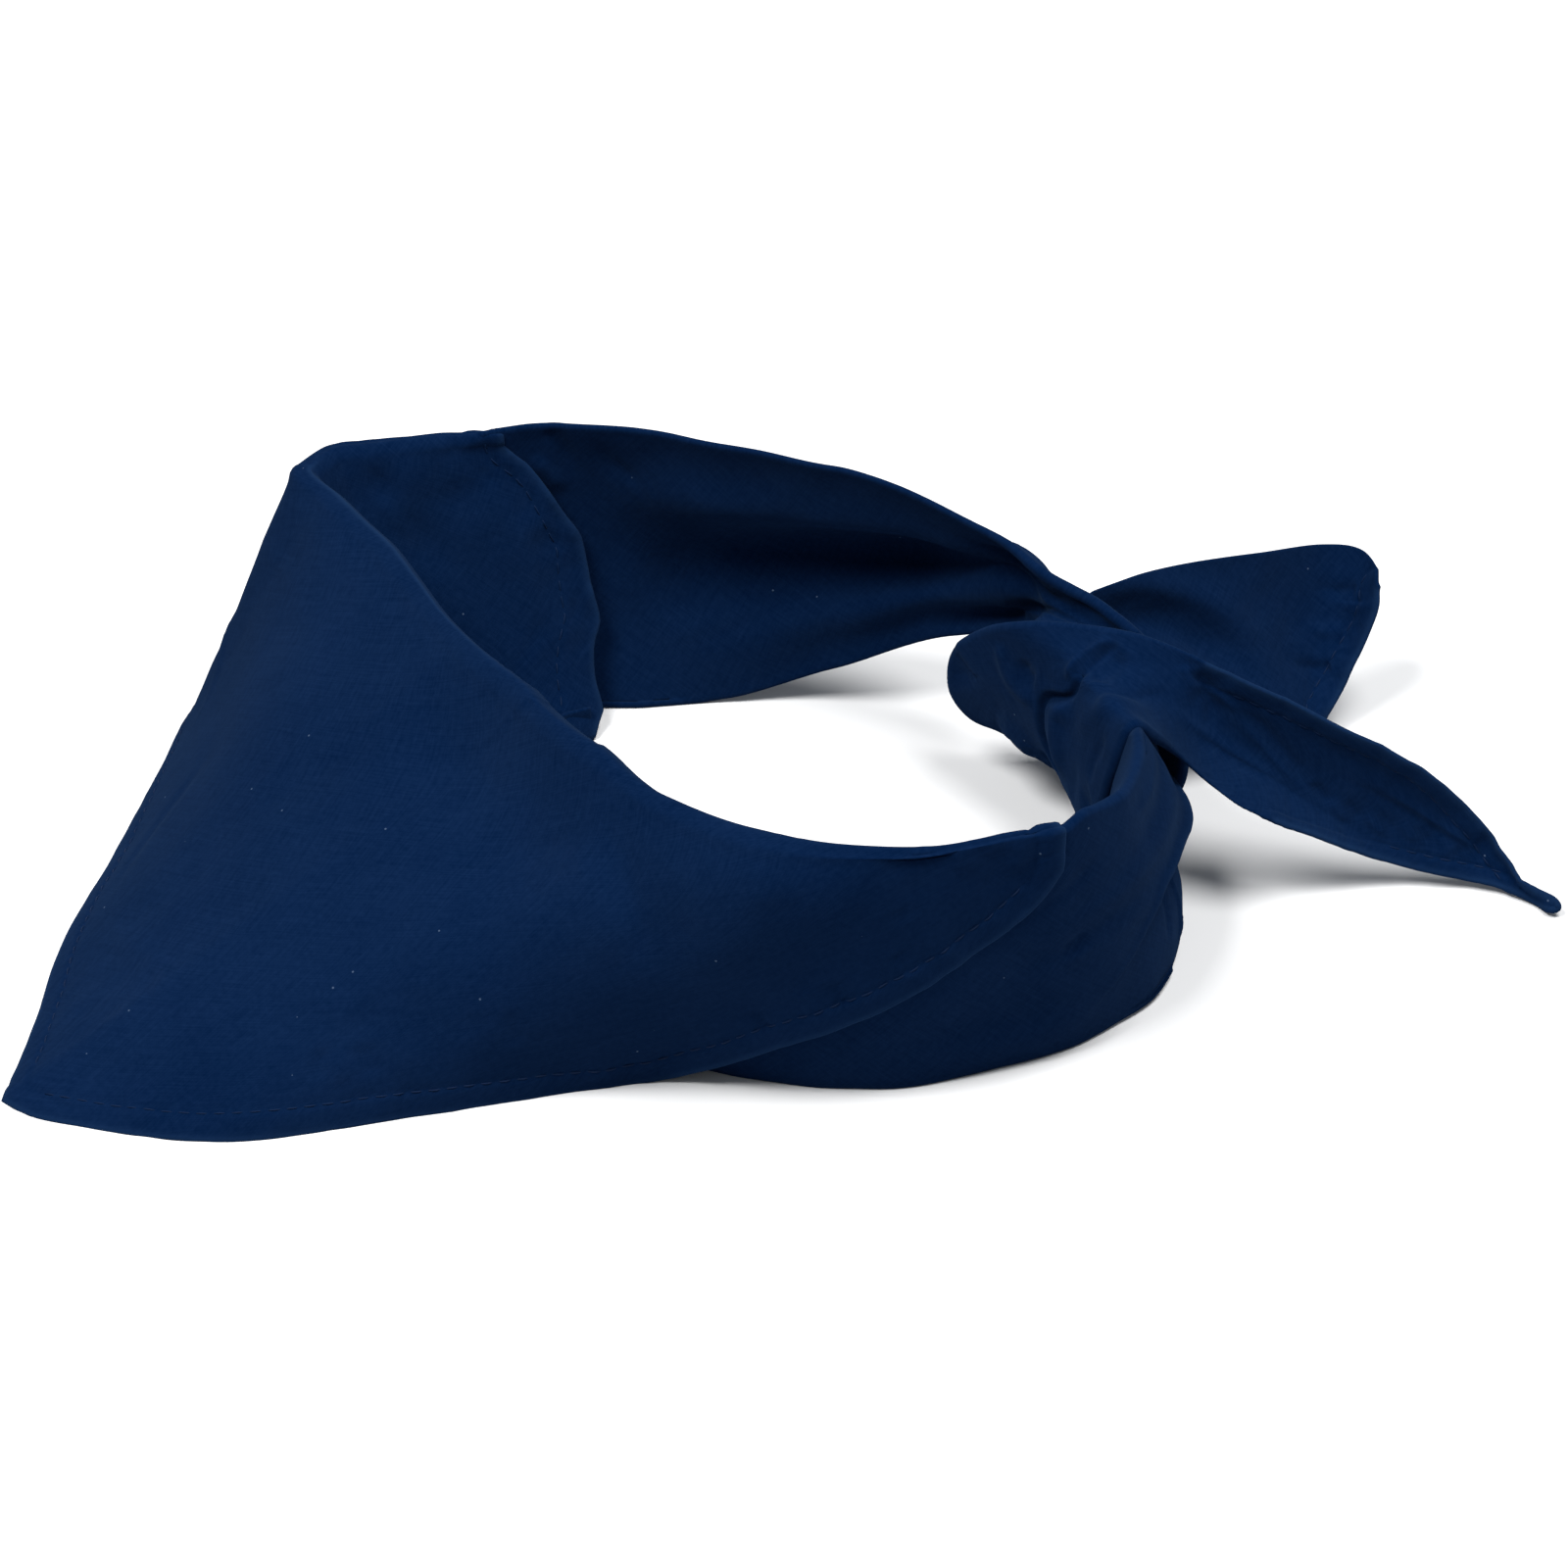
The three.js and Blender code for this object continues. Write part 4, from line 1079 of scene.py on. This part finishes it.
def make_right_end():
    """The band from the flap round the wearer's right to the knot, and on over the other tail.
    Its columns' labels are turns without their sign, and then steps of ten along the strand."""
    band, turns, rows = band_grid(RIGHT_BAND, 190, 90)
    strand, places, _ = strand_grid(KNOT_CROSS, 120, 90)
    grid = join(band[::-1], strand[:, ::-1], 14, 60)
    labels = np.concatenate([-turns[::-1], CROSS_START + CROSS_STEP * places])
    outside = np.zeros_like(grid)
    outside[:190] = grid[:190] * [1, 1, 0]
    cloth = Cloth("right_end_cloth", grid, labels, rows, BAND_WALL, outside)
    bunched = smooth_step((labels - 158) / 30)[:, None]
    cloth.half += bunched * (STRAND_WALL - BAND_WALL) / 2

    # The hollow along the middle of the stretch, the ridge below it, and the rolled top edge.
    cloth.crease(9, 4.9, (96, 0.3), (106, 0.41), (118, 0.45), (134, 0.44), (150, 0.43), (168, 0.42), lean=0.8)
    cloth.crease(3.6, -1.9, (100, 0.16), (117, 0.18), (136, 0.25), (158, 0.27), (171, 0.37), fade=(0.5, 0.1))
    cloth.crease(2.2, 1.6, (150, 0.03), (159, 0.08), (168, 0.16), fade=(0.4, 0.1))
    cloth.crease(7.5, -4.6, (94, 0.8), (104, 0.75), (118, 0.75), (134, 0.74), (150, 0.71), (168, 0.64),
                 fade=(0.3, 0.2))
    cloth.crease(1.7, 0.8, (89.5, 1), (91.7, 0.92), (93.6, 0.78), fade=(0.2, 0.6))
    cloth.crease(1.6, -0.9, (87.5, 0.9), (89.7, 0.82), (92, 0.74), lean=1.5)
    cloth.crease(2.0, 0.6, (96, 0.98), (98, 0.86), (104, 0.78))
    cloth.crease(3.4, -0.6, (103, 0.2), (112, 0.24), (124, 0.3), lean=0.6)
    cloth.crease(4.5, -0.7, (96, 0.55), (104, 0.3), (110, 0.08))
    cloth.crease(1.6, 0.8, (148, 0.84), (160, 0.8), (176, 0.72), (196, 0.66), fade=(0.5, 0.2))
    cloth.crease(1.4, -0.7, (152, 0.72), (166, 0.66), (180, 0.56), (198, 0.5), fade=(0.5, 0.2), lean=1.6)
    cloth.crease(1.5, 0.9, (158, 0.34), (170, 0.32), (184, 0.36), (200, 0.4), fade=(0.4, 0.2))
    cloth.crease(1.5, -0.7, (160, 0.12), (174, 0.16), (188, 0.2), (206, 0.16), fade=(0.4, 0.2))
    cloth.crease(1.3, 0.6, (178, 0.86), (190, 0.88), (206, 0.8))
    cloth.rumple(21, 0.7, 24)
    cloth.rumple(23, 0.2, 9)
    cloth.scatter(24, 30, (7, 24), (0.06, 0.24), heading=(0, 0.35))
    show(cloth, ["right_band", "knot_cross"])


def inner_face(face, turns):
    """The cloth that goes on over the top edge of the left stretch and down on the neck side."""
    top = face[:, -1]
    row = read_at(LEFT_INNER, turns)
    inward = unit(top * [1, 1, 0]) * -1
    short = top + inward * TURNED_APART - UP * TURNED_EDGE
    reach = smooth_step((turns - INNER_STARTS) / INNER_SPREAD)[:, None]
    end = short + (np.stack([row["x"], row["y"], row["z"]], -1) - short) * reach
    over = top + UP * 1.2 + inward * 0.6
    past = top + UP * 1.0 + inward * 1.4 + (end - top) * 0.04
    t = (np.linspace(0, 1, INNER_ACROSS + 1)[1:] ** 1.7)[None, :, None]
    curve = (1 - t) ** 3 * top[:, None] + 3 * t * (1 - t) ** 2 * over[:, None]
    return curve + 3 * t**2 * (1 - t) * past[:, None] + t**3 * end[:, None]


def make_left_band():
    """The band from under the flap to the knot, with its lower part tucked under by the knot."""
    face, turns, face_rows = band_grid(LEFT_BAND, 270, BAND_ACROSS)
    grid = np.concatenate([face, inner_face(face, turns)], 1)
    rows = np.concatenate([face_rows, 1 + 0.3 * np.linspace(0, 1, INNER_ACROSS + 1)[1:]])
    outside = np.zeros_like(grid)
    outside[:, :BAND_ACROSS] = face * [1, 1, 0]
    cloth = Cloth("left_band_cloth", grid, turns, rows, BAND_WALL, outside)
    tuck = read_at(LEFT_TUCK, turns[:, None])
    below = (tuck["height"] - rows[None]) * BAND_TOP
    cloth.relief -= tuck["depth"] * smooth_step(below / 1.6 + 0.4) * (1 - 0.7 * smooth_step(below / 30))
    lip = np.exp(-(((below + 1.6) / 1.5) ** 2))
    cloth.relief += 0.2 * tuck["depth"] * lip
    # A painted highlight along the lip of the upper part, where it folds over the tuck.
    cloth.pale = 0.05 * tuck["depth"] * lip

    cloth.crease(3.4, 0.9, (101, 0.5), (110, 0.58), (120, 0.68), (132, 0.74), (144, 0.77), fade=(0.4, 0.1))
    cloth.crease(3.0, -0.7, (97, 0.42), (107, 0.5), (117, 0.57), (126, 0.63), fade=(0.4, 0.4), lean=1.4)
    cloth.crease(2.4, -0.4, (118, 0.8), (130, 0.83), (144, 0.86), fade=(0.5, 0.05))
    cloth.crease(1.8, 0.3, (114, 0.9), (128, 0.92), (144, 0.94), fade=(0.5, 0.05), lean=0.6)
    cloth.crease(1.6, -0.7, (112, 0.53), (110, 0.5), (108, 0.49), lean=1.6)
    cloth.crease(1.4, 0.4, (113, 0.48), (110.6, 0.45), (108, 0.44))
    cloth.crease(5, -0.9, (84, 0.2), (98, 0.26), (112, 0.26), lean=1.3)
    cloth.crease(4, 0.6, (92, 0.1), (104, 0.12), (116, 0.2))
    cloth.crease(1.8, -0.5, (101, 0.66), (108, 0.76), (115, 0.82))
    cloth.crease(1.0, 0.8, (137, 0.56), (138.5, 0.4), (138, 0.2), (135, 0.06), fade=(0.1, 0.2))
    cloth.crease(1.5, -0.6, (132, 0.5), (133, 0.34), (131, 0.16), fade=(0.2, 0.3))
    cloth.rumple(22, 0.5, 24)
    cloth.rumple(25, 0.2, 9)
    cloth.scatter(26, 24, (6, 20), (0.06, 0.24), heading=(0.1, 0.3))
    show(cloth, ["left_band", "left_under"])


def bend_under(grid, turning, angle):
    """Turns the last rows of a grid back, from a row share given for each column, by an angle."""
    along = np.gradient(grid, axis=0)
    across = np.gradient(grid, axis=1)
    at = np.round(turning * (grid.shape[1] - 1)).astype(int)
    column = np.arange(len(grid))
    ahead = unit(across[column, at])[:, None]
    out = unit(np.cross(along[column, at], across[column, at]))[:, None]
    steps = np.linalg.norm(np.diff(grid, axis=1), axis=-1)
    run = np.concatenate([np.zeros((len(grid), 1)), np.cumsum(steps, 1)], 1)
    past = np.maximum(run - run[column, at][:, None], 0)
    past = past - 0.9 * (1 - np.exp(-past / 0.9))
    turn = angle[:, None, None]
    wider = 1 + 0.5 * np.sin(turn)
    shift = ahead * (wider * np.cos(turn) - 1) - out * wider * np.sin(turn)
    return grid + shift * past[..., None]


def make_leaf():
    """The right end as it comes up on the neck side, rolls over the knot and leaves as a long leaf.
    Its columns' labels are 0 to 6 round the knot, and go on to 13 at the leaf's tip."""
    strand = {name: np.concatenate([KNOT_WRAP[name], RIGHT_TAIL[name][1:]]) for name in KNOT_WRAP}
    grid, places, rows = strand_grid(strand, 400, 108)
    # Its lower side turns under along a sharp line, most of all where it leaves the knot, and its
    # tip is rounded.
    turning = np.interp(places, LEAF_TURN["place"], LEAF_TURN["row"])
    bent = 44 * smooth_step((places - 6.0) / 1.6) * (1 - smooth_step((places - 7.8) / 1.6))
    grid = bend_under(grid, turning, np.radians(bent))
    narrow = np.sqrt(np.clip((13.02 - places) / 0.4, 0, 1))[:, None, None]
    centre = grid.mean(axis=1, keepdims=True)
    grid = centre + (grid - centre) * narrow
    outside = np.zeros_like(grid)
    outside[:180] = grid[:180] - KNOT_HEART
    cloth = Cloth("leaf_cloth", grid, places, rows, PLY, outside)
    leaving = smooth_step((places - 4.6) / 2.2)[:, None]
    cloth.half += (1 - leaving) * (STRAND_WALL - PLY) / 2
    root = int(np.searchsorted(places, 6.7))
    upper = cloth.hem(grid[root:, 0], 41, 3.9, puckers=0.8)
    lower = cloth.hem(grid[root + 25:, -1], 42, 2.8, puckers=0.7)

    # A deep step where the leaf comes out of the roll round the knot, with a swell on each side.
    cloth.crease(0.75, -1.9, (4.75, 0.03), (4.1, 0.36), (3.3, 0.5), (2.8, 0.42), (2.3, 0.47), (1.7, 0.55),
                 (1.35, 0.64), (1.3, 0.72), fade=(0.35, 0.12), lean=1.6)
    cloth.crease(2.6, 1.5, (3.2, 0.58), (2.8, 0.53), (2.4, 0.58), (1.85, 0.67), (1.5, 0.78), fade=(0.3, 0.3))
    cloth.crease(1.0, 0.9, (3.5, 0.43), (4.2, 0.29), (4.95, 0.03), fade=(0.2, 0.2))
    cloth.crease(0.8, -0.7, (3.6, 0.47), (4.35, 0.33), (5.05, 0.06), fade=(0.2, 0.2))
    cloth.crease(2.2, -1.3, (3.85, 0.54), (4.6, 0.36), (5.2, 0.12), fade=(0.3, 0.3), lean=1.5)
    cloth.crease(1.5, 1.0, (3.15, 0.05), (2.6, 0.22), (2.45, 0.34), (2.6, 0.4), fade=(0.2, 0.2), lean=1.4)
    cloth.crease(1.9, -1.1, (3.2, 0.18), (2.93, 0.27), (2.92, 0.34), fade=(0.4, 0.3))
    cloth.crease(1.3, -0.45, (3.3, 0.5), (4.26, 0.61), (5.36, 0.52), (6.1, 0.42), fade=(0.3, 0.3))
    cloth.crease(3.0, 0.9, (2.8, 0.62), (3.6, 0.74), (4.6, 0.7), (5.6, 0.62))
    cloth.crease(1.6, -0.7, (2.2, 0.9), (2.9, 0.86), (3.5, 0.9), fade=(0.3, 0.3))
    cloth.crease(1.3, -0.9, (6.5, 0.06), (6.75, 0.25), (6.8, 0.42), (6.6, 0.56), fade=(0.2, 0.5), lean=1.5)
    cloth.crease(1.5, 0.6, (6.2, 0.08), (6.4, 0.28), (6.4, 0.44), fade=(0.2, 0.5))
    cloth.crease(1.4, -0.4, (0, 0.3), (0.8, 0.32), (1.5, 0.28), (2.1, 0.2), fade=(0.05, 0.5))
    cloth.crease(1.6, 0.4, (0, 0.5), (0.9, 0.48), (1.6, 0.42), fade=(0.05, 0.5))
    cloth.crease(1.4, -0.5, (0, 0.7), (0.8, 0.66), (1.3, 0.7), fade=(0.05, 0.5))
    cloth.crease(1.8, -0.5, (1.2, 0.86), (1.9, 0.8), (2.5, 0.76), fade=(0.3, 0.5))

    cloth.crease(5, -1.6, (2.4, 0.02), (2.06, 0.03), (1.7, 0.1))
    cloth.crease(3.5, 1.9, (1.35, 0.22), (1.15, 0.36), (1.05, 0.5))
    cloth.crease(1.8, -1.0, (1.3, 0.5), (1.0, 0.56), (0.7, 0.6))
    cloth.crease(3.5, -1.4, (2.1, 0.97), (1.8, 0.96), (1.5, 0.94))

    # The leaf.
    cloth.crease(1.3, 0.6, (5.8, 0.56), (6.7, 0.58), (7.4, 0.66), (7.95, 0.77), fade=(0.3, 0.5))
    cloth.crease(1.2, -0.8, (6.9, 0.14), (7.3, 0.26), (7.6, 0.44), (7.9, 0.62), (8.3, 0.76),
                 fade=(0.2, 0.4), lean=1.5)
    cloth.crease(1.2, 0.5, (7.0, 0.3), (7.35, 0.42), (7.7, 0.6), (8.0, 0.72))
    cloth.crease(1.1, 0.5, (6.2, 0.25), (6.6, 0.2), (7.0, 0.22), (7.6, 0.26), fade=(0.3, 0.5))
    for u, v, length, depth in (
            (7.95, 0.58, 0.22, -0.5), (8.1, 0.66, 0.25, 0.45), (8.28, 0.62, 0.2, -0.5),
            (8.45, 0.68, 0.26, 0.4), (8.6, 0.62, 0.2, -0.4), (8.8, 0.64, 0.24, 0.35),
            (9.0, 0.6, 0.22, -0.35), (7.8, 0.5, 0.2, 0.4)):
        cloth.crease(0.8, depth, (u, v), (u + length * 0.5, v + 0.1), (u + length, v + 0.12), lean=1.4)
    cloth.crease(0.9, 0.4, (8.4, 0.38), (8.95, 0.46), (9.6, 0.5), (10.3, 0.5))
    cloth.crease(0.9, -0.4, (8.2, 0.46), (8.9, 0.54), (9.7, 0.58), (10.2, 0.56))
    cloth.crease(1.6, -0.5, (7.5, 0.2), (8.4, 0.26), (9.3, 0.3), (10.2, 0.4), lean=1.4)
    cloth.rumple(43, 0.7, 18)
    cloth.rumple(44, 0.22, 6)
    cloth.scatter(45, 40, (3, 12), (0.05, 0.18), heading=(0.2, 0.5))
    show(cloth, ["knot_wrap", "right_tail"])
    at = int(np.searchsorted(places, 7.0))
    sew("leaf_upper_stitches", cloth, upper, np.arange(at, 360), np.arange(108), last=False)
    sew("leaf_lower_stitches", cloth, lower, np.arange(at + 50, 350), np.arange(108))


def make_core():
    pleats = ((5, 0.07, 0.4, 1.5), (9, 0.045, 1.9, -2.2), (14, 0.02, 0.3, 3.0))
    cloth = bundle_cloth("knot_core_cloth", KNOT_CORE, 110, 130, 1.2, pleats)
    cloth.rumple(34, 0.6, 8)
    show(cloth, ["knot_core"])


def make_flag():
    grid, places, rows = strand_grid(LEFT_TAIL, 180, 110)
    grid = round_corner(grid, (-1, 0), (-30, 25), 3.2, 1.9)
    grid = round_corner(grid, (-1, -1), (-30, -25), 3.0, 1.2)
    cloth = Cloth("flag_cloth", grid, places, rows, PLY, np.broadcast_to(NEAR_SIDE, grid.shape))
    end = cloth.hem(grid[-1, 3:], 46, 4.6, puckers=1.6)
    cloth.crease(3.6, -2.2, (0, 0.28), (0.7, 0.3), (1.5, 0.4), (2.3, 0.63), (2.8, 0.85),
                 fade=(0.05, 0.5), lean=1.5)
    cloth.crease(3.2, 1.6, (0.2, 0.02), (1.2, 0.1), (2.3, 0.3), (2.8, 0.6), (3.0, 0.8),
                 fade=(0.2, 0.4), lean=1.3)
    cloth.crease(1.6, 0.8, (0, 0.5), (0.8, 0.56), (1.6, 0.74), fade=(0.05, 0.6))
    cloth.crease(1.5, -0.7, (0, 0.7), (0.7, 0.76), (1.3, 0.92), fade=(0.05, 0.6))
    cloth.crease(1.4, -0.5, (3.9, 0.2), (4.5, 0.24), (5.1, 0.2), fade=(0.6, 0.1))
    cloth.crease(1.5, 0.5, (3.8, 0.42), (4.4, 0.46), (5.0, 0.44), fade=(0.6, 0.1))
    cloth.crease(1.3, -0.6, (3.5, 0.62), (4.2, 0.66), (4.8, 0.64), fade=(0.6, 0.1))
    cloth.crease(4.0, -0.6, (2.9, 0.05), (3.5, 0.3), (3.8, 0.6))
    cloth.rumple(47, 0.8, 26)
    cloth.rumple(48, 0.25, 8)
    cloth.scatter(49, 30, (4, 16), (0.05, 0.18))
    show(cloth, ["left_tail"])
    sew("flag_end_stitches", cloth, end, np.arange(4, 106), np.arange(60, 180), on_rows=False)


make_flap()
make_right_end()
make_left_band()
make_leaf()
make_core()
make_flag()


# The camera, the light and the floor

CAMERA_AZIMUTH = math.radians(63)
CAMERA_ELEVATION = math.radians(35)
CAMERA_DISTANCE = 1.400
VIEW_WIDTH = 0.296          # of the picture at that distance
CAMERA_TARGET = Vector((0.01722, 0.00971, 0.0278))
SENSOR = 36.0
FLOOR_HALF = 3.0


def direction(azimuth, elevation):
    flat = math.cos(elevation)
    return Vector((math.sin(azimuth) * flat, -math.cos(azimuth) * flat, math.sin(elevation)))


def make_camera():
    data = bpy.data.cameras.new("camera")
    data.sensor_width = SENSOR
    data.lens = SENSOR * CAMERA_DISTANCE / VIEW_WIDTH
    camera = bpy.data.objects.new("camera", data)
    back = direction(CAMERA_AZIMUTH, CAMERA_ELEVATION)
    camera.location = CAMERA_TARGET + back * CAMERA_DISTANCE
    camera.rotation_mode = "QUATERNION"
    camera.rotation_quaternion = (-back).to_track_quat("-Z", "Y")
    data.clip_start, data.clip_end = 0.05, 20
    bpy.context.scene.collection.objects.link(camera)
    bpy.context.scene.camera = camera


def make_lamp(name, azimuth, elevation, distance, size, power):
    """A soft box that faces the bandana."""
    data = bpy.data.lights.new(name, "AREA")
    data.shape = "DISK"
    data.size = size
    data.energy = power
    lamp = bpy.data.objects.new(name, data)
    towards = direction(math.radians(azimuth), math.radians(elevation))
    lamp.location = CAMERA_TARGET + towards * distance
    lamp.rotation_mode = "QUATERNION"
    lamp.rotation_quaternion = (-towards).to_track_quat("-Z", "Y")
    bpy.context.scene.collection.objects.link(lamp)


def make_floor():
    """A plain pale floor, so wide that its edges don't show from above."""
    mesh = bpy.data.meshes.new("floor")
    corners = [(x * FLOOR_HALF, y * FLOOR_HALF, 0) for x, y in ((-1, -1), (1, -1), (1, 1), (-1, 1))]
    mesh.from_pydata(corners, [], [(0, 1, 2, 3)])
    floor = bpy.data.objects.new("floor", mesh)
    bpy.context.scene.collection.objects.link(floor)
    material = bpy.data.materials.new("pale floor")
    material.use_nodes = True
    shader = material.node_tree.nodes["Principled BSDF"]
    shader.inputs["Base Color"].default_value = (0.62, 0.62, 0.62, 1)
    shader.inputs["Roughness"].default_value = 0.9
    shader.inputs["Specular IOR Level"].default_value = 0.1
    mesh.materials.append(material)


def make_light():
    world = bpy.data.worlds.new("studio")
    world.use_nodes = True
    world.node_tree.nodes["Background"].inputs["Color"].default_value = (0.86, 0.92, 1.0, 1)
    world.node_tree.nodes["Background"].inputs["Strength"].default_value = 0.34
    bpy.context.scene.world = world
    make_lamp("key", 2, 62, 1.6, 0.7, 33)
    make_lamp("top", 150, 70, 1.7, 0.9, 36)
    bpy.context.scene.view_settings.view_transform = "Standard"


make_camera()
make_floor()
make_light()
